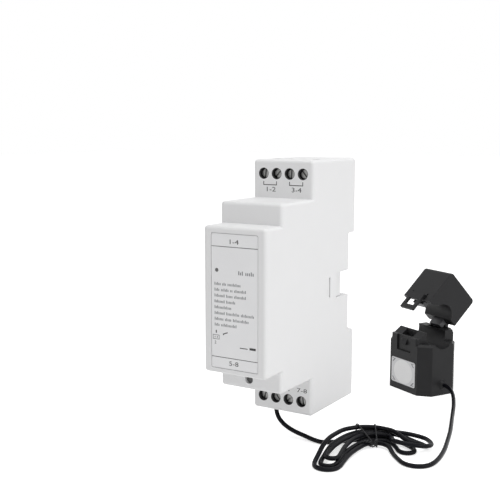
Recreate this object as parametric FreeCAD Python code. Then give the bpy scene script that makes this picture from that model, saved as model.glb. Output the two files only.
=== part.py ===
# Energy meter for a 35 mm rail, with a clip-on current clamp on a thin lead. Millimetres.
# Origin: middle of the rail seat. X runs across the width, Y runs back through the rail, Z is up.
import FreeCAD, Part
import math
import os
from FreeCAD import Placement, Rotation, Vector

# Housing
overall_width = 23.5
overall_height = 88.0
rail_line_height = 43.35
terminal_depth = 27.2
middle_depth = 47.9
front_depth = 57.8
middle_height = 62.0
front_height = 47.9
wall = 1.6
edge_round = 1.2
fit_gap = 0.2
slide_gap = 0.3
bearing_gap = 0.08

# Rail seat, with a fixed hook above and a sliding latch below
rail_slot_height = 35.7
leg_depth = 4.4
leg_end_round = 1.6
groove_height = 8.9
groove_depth = 4.8
notch_reach = 9.7
slit_depth = 14.6
slit_width = 1.0
slit_height = 7.1
hook_reach = 1.7
hook_width = 15.0
flange_gap = 1.4
lip_relief = 0.3
lip_relief_height = 2.2
base_skin = 1.6
post_x = 6.6
post_z = 27.0

# The latch slides in a channel of the base, against a coil spring
latch_bar = 8.8
latch_wing = 10.6
latch_wing_depth = 0.8
latch_front = 2.1
latch_back = 4.2
latch_nose = 1.7
latch_travel = 2.4
latch_tab = 3.6
spring_diameter = 2.8
spring_wire = 0.4
spring_turns = 6
spring_drop = 6.2
spring_length = 9.4

# Label and status light
label_width = 17.7
label_height = 44.0
label_recess = 0.6
label_thickness = 0.5
label_gap = 0.18
label_corner = 0.6
label_offset = -0.2
light_diameter = 1.2
light_x = -6.7
light_rise = 10.05

# Reset button
button_diameter = 2.8
button_gap = 0.1
button_recess = 1.0
button_travel = 0.5
button_x = -0.7
button_drop = 3.6
button_stem = 1.2
switch_setback = 3.2
switch_depth = 2.6
switch_height = 3.0

# Terminals
pole_pitch = 5.08
pole_count = 4
screw_inset = 4.75
screw_hole = 3.9
screw_head = 3.2
screw_head_height = 1.2
screw_shank = 2.5
screw_recess = 1.5
screw_slot_width = 0.6
screw_slot_depth = 0.7
entry_diameter = 3.0
cage_bar = 0.8
cage_side = 0.5
cage_width = 3.7
cage_length = 3.4
cage_travel = 2.25
contact_thickness = 0.6
contact_gap = 0.1
block_height = 8.0
block_web = 0.8
contact_leg = 1.0
leg_thickness = 0.6
core_room = 0.9
slot_angles = {"top": (8, 42, 4, -40), "bottom": (15, -35, 50, -8)}

# Boards
board_thickness = 1.6
power_board_depth = 8.6
logic_board_x = -5.2
header_width = 2.5
header_height = 5.0
header_length = 20.4
header_drop = 14.65
header_rebate = 0.9
radio_inset = 7.8
radio_length = 18.0
radio_width = 16.0
radio_thickness = 0.8
radio_drop = 12.65
aerial_length = 6.4
can_height = 2.2
can_margin = 1.0
chip_inset = 17.8
chip_length = 10.0
chip_width = 4.0
chip_height = 1.9
chip_rise = 7.35
chip_pins = 8
chip_pitch = 1.27
transformer_x = 2.6
transformer_drop = 1.65
transformer_width = 11.6
transformer_height = 13.0
core_stand = 3.4
core_depth = 5.4
core_middle = 2.6
core_side = 1.8
capacitor_x = 4.4
capacitor_rise = 11.95
capacitor_diameter = 8.0
capacitor_length = 12.0
varistor_x = 3.4
varistor_rise = 20.95
varistor_diameter = 8.0
varistor_thickness = 3.0

# Current clamp, worked out in its own frame: X along the aperture, Y from latch to hinge
clamp_length = 26.6
clamp_width = 20.2
clamp_chamfer = 4.4
clamp_shoulder = 21.6
clamp_split = 26.0
latch_wall_top = 23.8
aperture_diameter = 10.0
aperture_height = 24.5
pole_plane = 23.0
jaw_length = 17.0
jaw_top = 40.4
jaw_hinge_inset = 1.5
hinge_offset = 0.8
hinge_height = 24.5
pin_diameter = 1.2
knuckle_diameter = 2.7
knuckle_length = 3.2
open_angle = 46.5
clamp_x = 15.3
clamp_y = 66.3
clamp_turn = -28.8
floor_drop = 12.0
case_wall = 1.2
jaw_gap = 0.2
pole_inner = 5.7
pole_outer = 7.9
pole_half = 3.2
well_gap = 0.35
pole_swing = 0.2
core_low = 6.8
core_limb = 3.0
winding_depth = 2.6
winding_length = 13.0
jaw_core_top = 33.6
jaw_spring_room = 2.2
loop_width = 8.4
loop_low = 17.6
loop_rise = 2.6
loop_thickness = 1.0
loop_arm = 1.6
loop_bar = 2.1
slit_rise = 3.6
catch_z = 21.3
ear_width = 2.4
grommet_diameter = 3.2
collar_length = 1.2
sticker_margin = 1.2
sticker_thickness = 0.12
sticker_low = 2.8
sticker_height = 10.7

# Cord
cord_diameter = 1.6
core_diameter = 0.7
cord_exit_height = 4.5
hank_gap = 0.5

bottom = -rail_line_height
top = bottom + overall_height
middle_line = (bottom + top) / 2
half_width = overall_width / 2
inner_half = half_width - wall
floor = bottom - floor_drop
middle_low = middle_line - middle_height / 2
middle_high = middle_line + middle_height / 2
front_low = middle_line - front_height / 2
front_high = middle_line + front_height / 2
cord_radius = cord_diameter / 2
spring_high = -rail_slot_height / 2 - spring_drop
spring_low = spring_high - spring_length
switch_front = -middle_depth + wall + switch_setback
transformer_z = middle_line - transformer_drop
half_clamp = clamp_width / 2
half_jaw = jaw_length / 2
hinge_y = half_clamp + hinge_offset


def box(x0, x1, y0, y1, z0, z1):
    return Part.makeBox(x1 - x0, y1 - y0, z1 - z0, Vector(x0, y0, z0))


def rod(start, end, diameter):
    line = end - start
    return Part.makeCylinder(diameter / 2, line.Length, start, line)


def side_prism(outline, x0, x1):
    # A solid whose outline is drawn in the Y-Z plane
    points = [Vector(x0, y, z) for y, z in outline]
    return Part.Face(Part.makePolygon(points + points[:1])).extrude(Vector(x1 - x0, 0, 0))


def plan_prism(outline, z0, z1):
    points = [Vector(x, y, z0) for x, y in outline]
    return Part.Face(Part.makePolygon(points + points[:1])).extrude(Vector(0, 0, z1 - z0))


def round_edges(shape, radius, wanted):
    edges = [edge for edge in shape.Edges if wanted(edge)]
    return shape.makeFillet(radius, edges)


def runs_along(edge, axis):
    line = edge.Vertexes[-1].Point - edge.Vertexes[0].Point
    return abs(abs(line.dot(axis)) - line.Length) < 1e-6 and line.Length > 1e-6


def stepped_outline(inset, rear):
    # The stepped side of the housing, drawn inset from its outer faces
    return [
        (rear, bottom + inset),
        (-terminal_depth + inset, bottom + inset),
        (-terminal_depth + inset, middle_low + inset),
        (-middle_depth + inset, middle_low + inset),
        (-middle_depth + inset, front_low + inset),
        (-front_depth + inset, front_low + inset),
        (-front_depth + inset, front_high - inset),
        (-middle_depth + inset, front_high - inset),
        (-middle_depth + inset, middle_high - inset),
        (-terminal_depth + inset, middle_high - inset),
        (-terminal_depth + inset, top - inset),
        (rear, top - inset),
    ]


# Where the poles and their screws stand
pole_xs = [(n - (pole_count - 1) / 2) * pole_pitch for n in range(pole_count)]
screw_z = {"top": top - screw_inset, "bottom": bottom + screw_inset}
head_front = -terminal_depth + screw_recess
head_back = head_front + screw_head_height
block_front = -terminal_depth + wall + fit_gap
web_front = head_back + 0.1
pocket_front = web_front + block_web
cage_front_closed = pocket_front + 0.1
cage_front_open = cage_front_closed + cage_travel
contact_front = cage_front_open + cage_bar + slide_gap
wire_front = contact_front + contact_thickness
wire_room = cage_travel + fit_gap
entry_y = wire_front + wire_room / 2
cage_depth = cage_bar + slide_gap + contact_thickness + wire_room + cage_bar
pocket_back = cage_front_open + cage_depth + slide_gap
gripped = wire_room - core_diameter - 0.02

label_z = middle_line + label_offset
light_z = label_z + light_rise
button_z = front_low - button_drop
label_low = label_z - label_height / 2
label_high = label_z + label_height / 2


def housing_shell():
    body = side_prism(stepped_outline(0, leg_depth), -half_width, half_width)

    def outer_edge(edge):
        ends = [v.Point for v in edge.Vertexes]
        if min(p.y for p in ends) > leg_depth - 0.1:
            return False
        if not runs_along(edge, Vector(1, 0, 0)):
            return True
        y, z = ends[0].y, ends[0].z
        inner_corners = [(-terminal_depth, middle_low), (-middle_depth, front_low),
                         (-middle_depth, front_high), (-terminal_depth, middle_high)]
        return all(abs(y - a) + abs(z - b) > 0.01 for a, b in inner_corners)

    body = round_edges(body, edge_round, outer_edge)
    cavity = side_prism(stepped_outline(wall, leg_depth + 1), -inner_half, inner_half)
    half_slot = rail_slot_height / 2
    rail_cut = box(-half_width - 1, half_width + 1, 0, leg_depth + 1, -half_slot, half_slot)
    cuts = [cavity, rail_cut]
    cuts.append(leg_end_cut(half_slot))
    cuts.append(box(-latch_bar / 2 - slide_gap, latch_bar / 2 + slide_gap, latch_front - slide_gap,
                    leg_depth + 1, bottom - 1, bottom + wall + 1))
    for side in (-1, 1):
        out = side * (half_width + 1)
        inn = side * (inner_half - 0.5)
        x0, x1 = min(out, inn), max(out, inn)
        cuts.append(box(x0, x1, -notch_reach, leg_depth + 1, -groove_height / 2, groove_height / 2))
        cuts.append(box(x0, x1, -slit_depth - slit_width / 2, -slit_depth + slit_width / 2,
                        -slit_height / 2, slit_height / 2))
    for end in ("top", "bottom"):
        for x in pole_xs:
            cuts.append(rod(Vector(x, -terminal_depth - 1, screw_z[end]),
                            Vector(x, -terminal_depth + wall + 1, screw_z[end]), screw_hole))
            z = top if end == "top" else bottom
            cuts.append(rod(Vector(x, entry_y, z - wall - 0.5), Vector(x, entry_y, z + wall + 0.5),
                            entry_diameter))
    cuts.append(label_blank(-front_depth - 1, -front_depth + label_recess, 0))
    cuts.append(rod(Vector(light_x, -front_depth - 1, light_z),
                    Vector(light_x, -front_depth + wall + 1, light_z), light_diameter + 2 * fit_gap))
    cuts.append(rod(Vector(button_x, -middle_depth - 1, button_z),
                    Vector(button_x, -middle_depth + wall + 1, button_z),
                    button_diameter + 2 * button_gap))
    shell = body
    for cut in cuts:
        shell = shell.cut(cut)
    # Two ribs inside the front wall hold the front edge of the logic board
    for x0 in (logic_board_x - fit_gap - 1.0, logic_board_x + board_thickness + fit_gap):
        shell = shell.fuse(box(x0, x0 + 1.0, -front_depth + wall - 0.1, -front_depth + wall + 2.0,
                               front_low + wall + 8, front_low + wall + 18))
    return shell.removeSplitter()


def leg_end_cut(half_slot):
    # The lower leg starts in a half round nose on both side walls
    corner = box(-half_width - 1, half_width + 1, leg_depth - leg_end_round, leg_depth + 1,
                 -half_slot - leg_end_round, -half_slot + 1)
    axis = Vector(-half_width - 2, leg_depth - leg_end_round, -half_slot - leg_end_round)
    return corner.cut(rod(axis, axis + Vector(overall_width + 4, 0, 0), 2 * leg_end_round))


def label_blank(y0, y1, gap):
    half = label_width / 2 - gap
    blank = box(-half, half, y0, y1, label_low + gap, label_high - gap)
    return round_edges(blank, label_corner - gap / 2, lambda edge: runs_along(edge, Vector(0, 1, 0)))


def label_panel():
    back = -front_depth + label_recess
    panel = label_blank(back - label_thickness, back, label_gap)
    return panel.cut(rod(Vector(light_x, back - 2, light_z), Vector(light_x, back + 1, light_z),
                         light_diameter + 0.1))


def status_light_pipe():
    inner_face = -front_depth + wall
    front = -front_depth + label_recess - label_thickness
    pipe = rod(Vector(light_x, front, light_z), Vector(light_x, inner_face + 1.8, light_z), light_diameter)
    flange = rod(Vector(light_x, inner_face, light_z), Vector(light_x, inner_face + 0.5, light_z),
                 light_diameter + 1.2)
    return pipe.fuse(flange).removeSplitter()


def rear_base():
    half_slot = rail_slot_height / 2
    half_groove = groove_height / 2
    end_gap = wall + fit_gap
    rear_line = [
        (leg_depth, top - end_gap),
        (leg_depth, half_slot),
        (-lip_relief, half_slot),
        (-lip_relief, half_slot - lip_relief_height),
        (0, half_slot - lip_relief_height),
        (0, half_groove),
        (-groove_depth, half_groove),
        (-groove_depth, -half_groove),
        (0, -half_groove),
        (0, -half_slot + lip_relief_height),
        (-lip_relief, -half_slot + lip_relief_height),
        (-lip_relief, -half_slot),
        (leg_depth, -half_slot),
        (leg_depth, bottom + end_gap),
    ]
    front_line = [
        (leg_depth - base_skin, bottom + end_gap),
        (leg_depth - base_skin, -half_slot - base_skin),
        (-base_skin, -half_slot - base_skin),
        (-base_skin, -half_groove - base_skin),
        (-groove_depth - base_skin, -half_groove - base_skin),
        (-groove_depth - base_skin, half_groove + base_skin),
        (-base_skin, half_groove + base_skin),
        (-base_skin, half_slot + base_skin),
        (leg_depth - base_skin, half_slot + base_skin),
        (leg_depth - base_skin, top - end_gap),
    ]
    half = inner_half - fit_gap
    base = side_prism(rear_line + front_line, -half, half)
    # The hook that hangs on the upper edge of the rail
    hook = [(flange_gap, half_slot), (flange_gap + 0.2, half_slot - hook_reach),
            (flange_gap + 1.0, half_slot - hook_reach), (leg_depth, half_slot - 0.2),
            (leg_depth, half_slot + base_skin), (flange_gap, half_slot + base_skin)]
    base = base.fuse(side_prism(hook, -hook_width / 2, hook_width / 2))
    # Snap tongues reach forward inside both side walls, with a barb in each slit
    for side in (-1, 1):
        tongue = side_box(side, inner_half - fit_gap - 1.2, inner_half - fit_gap,
                          -slit_depth - 1.6, -groove_depth, -slit_height / 2 + 0.3, slit_height / 2 - 0.3)
        cheek = side_box(side, inner_half - fit_gap - 1.2, half_width - 0.8, -notch_reach + fit_gap,
                         -groove_depth, -half_groove + fit_gap, half_groove - fit_gap)
        barb = side_box(side, inner_half - 0.5, half_width - 0.6, -slit_depth - slit_width / 2 + 0.15,
                        -slit_depth + slit_width / 2 - 0.15, -slit_height / 2 + 0.3, slit_height / 2 - 0.3)
        base = base.fuse([tongue, cheek, barb])
    for x in (-post_x, post_x):
        for z in (-post_z, post_z):
            back = leg_depth - base_skin
            base = base.fuse(rod(Vector(x, back + 0.1, z),
                                 Vector(x, -power_board_depth + board_thickness, z), 3.2))
    # The latch channel: side rails with lips over a sunk floor
    low = bottom + end_gap
    channel_top = -half_slot
    deep = box(-latch_wing / 2 - slide_gap, latch_wing / 2 + slide_gap, latch_front - slide_gap,
               leg_depth + 1, low - 1, channel_top + 1)
    base = base.cut(deep)
    sunk = box(-latch_wing / 2 - slide_gap - 1.0, latch_wing / 2 + slide_gap + 1.0,
               latch_front - slide_gap - base_skin, latch_front - slide_gap, low, channel_top)
    base = base.fuse(sunk)
    for side in (-1, 1):
        rail = side_box(side, latch_wing / 2 + slide_gap, latch_wing / 2 + slide_gap + 1.4,
                        latch_front - slide_gap, leg_depth, low, channel_top)
        lip = side_box(side, latch_bar / 2 + slide_gap, latch_wing / 2 + slide_gap + 0.2,
                       latch_front + latch_wing_depth + slide_gap, leg_depth, low, channel_top)
        base = base.fuse([rail, lip])
    # The channel floor is let in where the latch's nose comes down
    base = base.cut(box(-latch_bar / 2 - slide_gap, latch_bar / 2 + slide_gap, flange_gap - slide_gap,
                        latch_front, -half_slot - latch_travel - slide_gap, -half_slot + 1))
    # The spring lies in a window of the channel floor and bears on a lug
    base = base.cut(box(-spring_diameter / 2 - slide_gap, spring_diameter / 2 + slide_gap,
                        latch_front - slide_gap - base_skin - 1, latch_front - slide_gap + 0.01,
                        spring_low, spring_high + 0.2))
    lug = box(-1.2, 1.2, latch_front - slide_gap - 0.2, latch_back - 0.3, spring_low - 1.2, spring_low)
    return base.fuse(lug).removeSplitter()


def side_box(side, x_in, x_out, y0, y1, z0, z1):
    # A box on one side of the middle plane, given by its distances from it
    if side > 0:
        return box(x_in, x_out, y0, y1, z0, z1)
    return box(-x_out, -x_in, y0, y1, z0, z1)


def rail_latch():
    half_slot = rail_slot_height / 2
    low = bottom - latch_tab
    bar = box(-latch_bar / 2, latch_bar / 2, latch_front, latch_back, low, -half_slot)
    wings = box(-latch_wing / 2, latch_wing / 2, latch_front, latch_front + latch_wing_depth,
                bottom + wall + latch_travel + slide_gap, -half_slot - 0.5)
    nose = [(latch_front, -half_slot - 0.1), (flange_gap, -half_slot + 0.2),
            (flange_gap, -half_slot + latch_nose), (flange_gap + 0.7, -half_slot + latch_nose),
            (latch_back, -half_slot)]
    latch = bar.fuse([wings, side_prism(nose, -latch_bar / 2, latch_bar / 2)])
    window = box(-spring_diameter / 2 - slide_gap, spring_diameter / 2 + slide_gap, latch_front - 1,
                 latch_back + 1, spring_low - 1.2 - latch_travel - slide_gap, spring_high)
    grip = box(-2.4, 2.4, latch_front - 1, latch_back + 1, low + 0.9, low + 2.2)
    latch = latch.cut(window).cut(grip)
    return latch.removeSplitter()


def latch_spring():
    centre_y = (latch_front + latch_back) / 2
    radius = (spring_diameter - spring_wire) / 2
    low = spring_low + spring_wire / 2 + 0.05
    rise = spring_high - spring_low - spring_wire - 0.1

    def point(turn):
        angle = 2 * math.pi * turn
        return Vector(radius * math.cos(angle), centre_y + radius * math.sin(angle),
                      low + rise * turn / spring_turns)

    stations = [point(n / 2) for n in range(2 * spring_turns + 1)]
    headings = [heading_of(point, n / 2) for n in range(2 * spring_turns + 1)]
    return tube(biarc_edges(stations, headings), spring_wire)


def heading_of(point, where):
    step = 1e-4
    return (point(where + step) - point(where - step)).normalize()


def biarc_edges(stations, headings):
    # Two arcs from each station to the next, that leave and arrive along the headings
    edges = []
    for p0, p1, t0, t1 in zip(stations, stations[1:], headings, headings[1:]):
        gap = p1 - p0
        across = gap.dot(t0 + t1)
        bend = 2 * (1 - t0.dot(t1))
        if bend < 1e-9:
            reach = gap.dot(gap) / (2 * across)
        else:
            reach = (math.sqrt(across * across + bend * gap.dot(gap)) - across) / bend
        joint = (p0 + t0 * reach + p1 - t1 * reach) * 0.5
        edges.append(arc_edge(p0, t0, joint))
        turned = (p1 - t1 * reach - joint).normalize()
        edges.append(arc_edge(joint, turned, p1))
    return edges


def arc_edge(start, heading, end):
    chord = end - start
    along = chord.dot(heading)
    if chord.Length - along < 1e-7:
        return Part.LineSegment(start, end).toShape()
    cos_half = along / chord.Length
    normal = (heading * chord.Length - chord * cos_half).normalize()
    half = math.acos(min(1.0, cos_half))
    sagitta = chord.Length / 2 * math.tan(half / 2)
    middle = (start + end) * 0.5 + normal * sagitta
    return Part.Arc(start, middle, end).toShape()


def tube(edges, diameter):
    path = Part.Wire(edges)
    first = edges[0]
    start = first.valueAt(first.FirstParameter)
    heading = first.tangentAt(first.FirstParameter)
    ring = Part.Wire(Part.makeCircle(diameter / 2, start, heading))
    solid = Part.Solid(path.makePipeShell([ring], True, False).Shells[0])
    if solid.Volume < 0:
        solid.reverse()
    return solid


def reset_button():
    front = -middle_depth + button_recess
    inner_face = -middle_depth + wall
    cap = rod(Vector(button_x, front, button_z), Vector(button_x, inner_face + 0.15, button_z),
              button_diameter)
    flange = rod(Vector(button_x, inner_face + 0.1, button_z),
                 Vector(button_x, inner_face + 0.9, button_z), button_diameter + 1.2)
    flange = flange.common(box(-half_width, half_width, -middle_depth, 0,
                               middle_low + wall + button_gap, front_low + 1))
    stem = rod(Vector(button_x, inner_face + 0.8, button_z),
               Vector(button_x, switch_front + 0.3, button_z), button_stem)
    return cap.fuse([flange, stem]).removeSplitter()


def reset_switch():
    body = box(logic_board_x + board_thickness, button_x + 2.2, switch_front, switch_front + switch_depth,
               button_z - switch_height / 2, button_z + switch_height / 2)
    hole = rod(Vector(button_x, switch_front - 1, button_z),
               Vector(button_x, switch_front + 0.3 + button_travel + slide_gap, button_z),
               button_stem + 2 * slide_gap)
    return body.cut(hole)


def block_span(end):
    # Which way is outwards, and where a block's outer and inner ends lie
    sign = 1 if end == "top" else -1
    outer = (top if end == "top" else bottom) - sign * (wall + core_room)
    return sign, outer, outer - sign * block_height


def terminal_block(end):
    # A four-pole block: screw wells in front, and cage pockets behind them that open outwards
    sign, outer, inner = block_span(end)
    z0, z1 = sorted((outer, inner))
    half = inner_half - fit_gap
    block = box(-half, half, block_front, -power_board_depth, z0, z1)
    block = round_edges(block, 0.5, lambda edge: runs_along(edge, Vector(0, 1, 0)))
    pocket_half = cage_width / 2 + fit_gap
    pocket_end = screw_z[end] - sign * (cage_length / 2 + slide_gap)
    for x in pole_xs:
        z = screw_z[end]
        well = rod(Vector(x, block_front - 1, z), Vector(x, web_front, z), screw_hole)
        journal = rod(Vector(x, web_front - 1, z), Vector(x, pocket_front + 1, z),
                      screw_shank + 2 * bearing_gap)
        z0, z1 = sorted((outer + sign, pocket_end))
        pocket = box(x - pocket_half, x + pocket_half, pocket_front, pocket_back, z0, z1)
        z0, z1 = sorted((pocket_end + sign * 0.5, leg_z(end) - sign * (leg_thickness / 2 + contact_gap)))
        leg_slot = box(x - contact_leg / 2 - contact_gap, x + contact_leg / 2 + contact_gap,
                       contact_front - contact_gap, -power_board_depth + 1, z0, z1)
        z0, z1 = sorted((pocket_end + sign * 0.5, leg_z(end) + sign * (leg_thickness / 2 - contact_gap)))
        plate_half = cage_width / 2 - cage_side
        plate_slot = box(x - plate_half, x + plate_half, contact_front - contact_gap,
                         contact_front + contact_thickness + contact_gap, z0, z1)
        for cut in (well, journal, pocket, leg_slot, plate_slot):
            block = block.cut(cut)
    return block


def leg_z(end):
    # Where the legs of the contacts run back through the block, past the cage pockets
    sign = block_span(end)[0]
    return screw_z[end] - sign * (cage_length / 2 + slide_gap + 1.2)


def terminal_contacts(end):
    # A bent strip for each pole: a plate for the wire, and a leg that runs back into the board
    sign, outer, inner = block_span(end)
    half = cage_width / 2 - cage_side - contact_gap
    leg_far = leg_z(end) - sign * leg_thickness / 2
    leg_near = leg_z(end) + sign * leg_thickness / 2
    strips = []
    for x in pole_xs:
        z0, z1 = sorted((outer - sign * 0.2, leg_near))
        plate = box(x - half, x + half, contact_front, contact_front + contact_thickness, z0, z1)
        z0, z1 = sorted((leg_near + sign * 0.1, leg_far))
        neck = box(x - contact_leg / 2, x + contact_leg / 2, contact_front,
                   contact_front + contact_thickness, z0, z1)
        z0, z1 = sorted((leg_near, leg_far))
        leg = box(x - contact_leg / 2, x + contact_leg / 2, contact_front,
                  -power_board_depth + board_thickness + 0.4, z0, z1)
        strips.append(plate.fuse([neck, leg]).removeSplitter())
    return Part.makeCompound(strips)


def terminal_screw(x, z, slot_angle):
    head = rod(Vector(x, head_front, z), Vector(x, head_back, z), screw_head)
    head = head.makeChamfer(0.2, [edge for edge in head.Edges
                                  if edge.BoundBox.YMax < head_front + 0.01 and edge.Closed])
    shank = rod(Vector(x, head_back, z), Vector(x, contact_front - 0.2, z), screw_shank)
    slot = box(x - screw_slot_width / 2, x + screw_slot_width / 2, head_front - 1,
               head_front + screw_slot_depth, z - screw_head, z + screw_head)
    slot.rotate(Vector(x, 0, z), Vector(0, 1, 0), slot_angle)
    return head.fuse(shank).removeSplitter().cut(slot)


def wire_cage(x, z, raised):
    # A square ring round the contact plate, that the screw draws forward to grip the wire
    front = cage_front_open - raised
    half_x = cage_width / 2
    half_z = cage_length / 2
    cage = box(x - half_x, x + half_x, front, front + cage_depth, z - half_z, z + half_z)
    cage = round_edges(cage, 0.4, lambda edge: runs_along(edge, Vector(0, 0, 1)))
    window = box(x - half_x + cage_side, x + half_x - cage_side, front + cage_bar,
                 front + cage_depth - cage_bar, z - half_z - 1, z + half_z + 1)
    tapped = rod(Vector(x, front - 1, z), Vector(x, front + cage_bar + 0.5, z),
                 screw_shank + 2 * bearing_gap)
    return cage.cut(window).cut(tapped)


def power_board():
    half = inner_half - 2 * fit_gap
    board = box(-half, half, -power_board_depth, -power_board_depth + board_thickness,
                bottom + wall + 0.5, top - wall - 0.5)
    tongue_in = inner_half - fit_gap - 1.2
    for side in (-1, 1):
        board = board.cut(side_box(side, tongue_in - slide_gap, half + 1, -power_board_depth - 1,
                                   -power_board_depth + board_thickness + 1,
                                   -groove_height / 2 - 1, groove_height / 2 + 1))
    for end in ("top", "bottom"):
        for x in pole_xs:
            board = board.cut(rod(Vector(x, -power_board_depth - 1, leg_z(end)),
                                  Vector(x, -power_board_depth + board_thickness + 1, leg_z(end)), 1.5))
    return board


def logic_board():
    front = -front_depth + wall + 0.6
    back = -power_board_depth - 2.6
    outline = [
        (front, front_low + wall + 1.6),
        (front, front_high - wall - 1.6),
        (-middle_depth + wall + 0.6, front_high - wall - 1.6),
        (-middle_depth + wall + 0.6, middle_high - wall - 0.8),
        (back, middle_high - wall - 0.8),
        (back, middle_low + wall + 0.4),
        (-middle_depth + wall + 0.6, middle_low + wall + 0.4),
        (-middle_depth + wall + 0.6, front_low + wall + 1.6),
    ]
    return side_prism(outline, logic_board_x, logic_board_x + board_thickness)


def board_header():
    # A pin strip that carries the logic board on the power board
    low = middle_line - header_drop
    high = low + header_length
    strip = box(logic_board_x - header_width, logic_board_x, -power_board_depth - header_height,
                -power_board_depth, low, high)
    rebate = box(logic_board_x - header_rebate, logic_board_x + 1, -power_board_depth - header_height - 1,
                 -power_board_depth - header_height + header_rebate, low - 1, high + 1)
    return strip.cut(rebate)


def status_led():
    return box(logic_board_x - 2.3, logic_board_x, -front_depth + wall + 1.9, -front_depth + wall + 3.6,
               light_z - 0.8, light_z + 0.8)


def radio_module():
    face = logic_board_x - radio_thickness
    front = -front_depth + radio_inset
    back = front + radio_length
    low = middle_line - radio_drop
    high = low + radio_width
    carrier = box(face, logic_board_x, front, back, low, high)
    can = box(face - can_height, face, front + aerial_length, back - can_margin, low + can_margin,
              high - can_margin)
    can = round_edges(can, 0.6, lambda edge: edge.BoundBox.XMin < face - 0.1)
    return carrier.fuse(can).removeSplitter()


def meter_chip():
    x0 = logic_board_x + board_thickness
    y0 = -front_depth + chip_inset
    low = middle_line + chip_rise
    body = box(x0 + 0.15, x0 + chip_height, y0, y0 + chip_length, low, low + chip_width)
    body = body.makeChamfer(0.3, [edge for edge in body.Edges if edge.BoundBox.XMin > x0 + chip_height - 0.1])
    pins = []
    for n in range(chip_pins):
        y = y0 + chip_length / 2 + (n - (chip_pins - 1) / 2) * chip_pitch
        pins.append(box(x0, x0 + 0.5, y - 0.2, y + 0.2, low - 1.0, low + chip_width + 1.0))
    return body.fuse(pins).removeSplitter()


def transformer_core():
    # A ring core with a middle limb, standing on the power board
    x0 = transformer_x - transformer_width / 2
    x1 = transformer_x + transformer_width / 2
    z0 = transformer_z - transformer_height / 2
    z1 = transformer_z + transformer_height / 2
    back = -power_board_depth - core_stand
    front = back - core_depth
    core = box(x0, x1, front, back, z0, z1)
    for a, b in ((x0 + core_side, transformer_x - core_middle / 2),
                 (transformer_x + core_middle / 2, x1 - core_side)):
        core = core.cut(box(a, b, front - 1, back + 1, z0 + core_side, z1 - core_side))
    return core


def transformer_winding():
    # The bobbin, its copper and the foot that stands on the board
    z0 = transformer_z - transformer_height / 2 + core_side + 0.1
    z1 = transformer_z + transformer_height / 2 - core_side - 0.1
    half = transformer_width / 2 - core_side - 0.1
    middle_y = -power_board_depth - core_stand - core_depth / 2
    start = Vector(transformer_x, middle_y, z0)
    coil = rod(start, Vector(transformer_x, middle_y, z1), core_depth + 3.0)
    coil = coil.common(box(transformer_x - half, transformer_x + half, middle_y - 5, middle_y + 5, z0, z1))
    half = core_middle / 2 + 0.05
    hole = box(transformer_x - half, transformer_x + half, middle_y - core_depth / 2 - 0.05,
               middle_y + core_depth / 2 + 0.05, z0 - 1, z1 + 1)
    foot = box(transformer_x - 3.6, transformer_x + 3.6, middle_y + core_depth / 2 + 0.3,
               -power_board_depth, z0 + 0.6, z1 - 0.6)
    return coil.fuse(foot).cut(hole).removeSplitter()


def filter_capacitor():
    start = Vector(capacitor_x, -power_board_depth, middle_line + capacitor_rise)
    can = rod(start, start + Vector(0, -capacitor_length, 0), capacitor_diameter)
    rim = [edge for edge in can.Edges if edge.Closed]
    can = can.makeFillet(0.6, rim)
    groove = Part.makeTorus(capacitor_diameter / 2 + 0.1, 0.35, start + Vector(0, -1.8, 0), Vector(0, 1, 0))
    return can.cut(groove)


def varistor():
    z = middle_line + varistor_rise
    radius = varistor_diameter / 2
    centre = Vector(varistor_x, -power_board_depth - 1.6 - radius, z - varistor_thickness / 2)
    disc = Part.makeCylinder(radius, varistor_thickness, centre, Vector(0, 0, 1))
    disc = disc.makeFillet(0.8, [edge for edge in disc.Edges if edge.Closed])
    leads = [rod(Vector(varistor_x + dx, -power_board_depth, z), Vector(varistor_x + dx, centre.y + 3.2, z),
                 0.6) for dx in (-radius / 2, radius / 2)]
    return disc.fuse(leads).removeSplitter()


def clamp_place(shape):
    shape.Placement = Placement(Vector(clamp_x, clamp_y, floor), Rotation(Vector(0, 0, 1), clamp_turn)
                                ).multiply(shape.Placement)
    return shape


def jaw_place(shape):
    shape.rotate(Vector(0, hinge_y, hinge_height), Vector(1, 0, 0), -open_angle)
    return clamp_place(shape)


def split_outline(low, high, offset):
    # The stepped edge where jaw and base meet, closed below or above
    edge = [(-half_clamp - 2, latch_wall_top + offset), (-pole_outer - 0.4, latch_wall_top + offset),
            (-pole_inner + 0.6, clamp_split + offset), (half_clamp + 6, clamp_split + offset)]
    if high is None:
        return edge + [(half_clamp + 6, low), (-half_clamp - 2, low)]
    return edge + [(half_clamp + 6, high), (-half_clamp - 2, high)]


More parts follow.
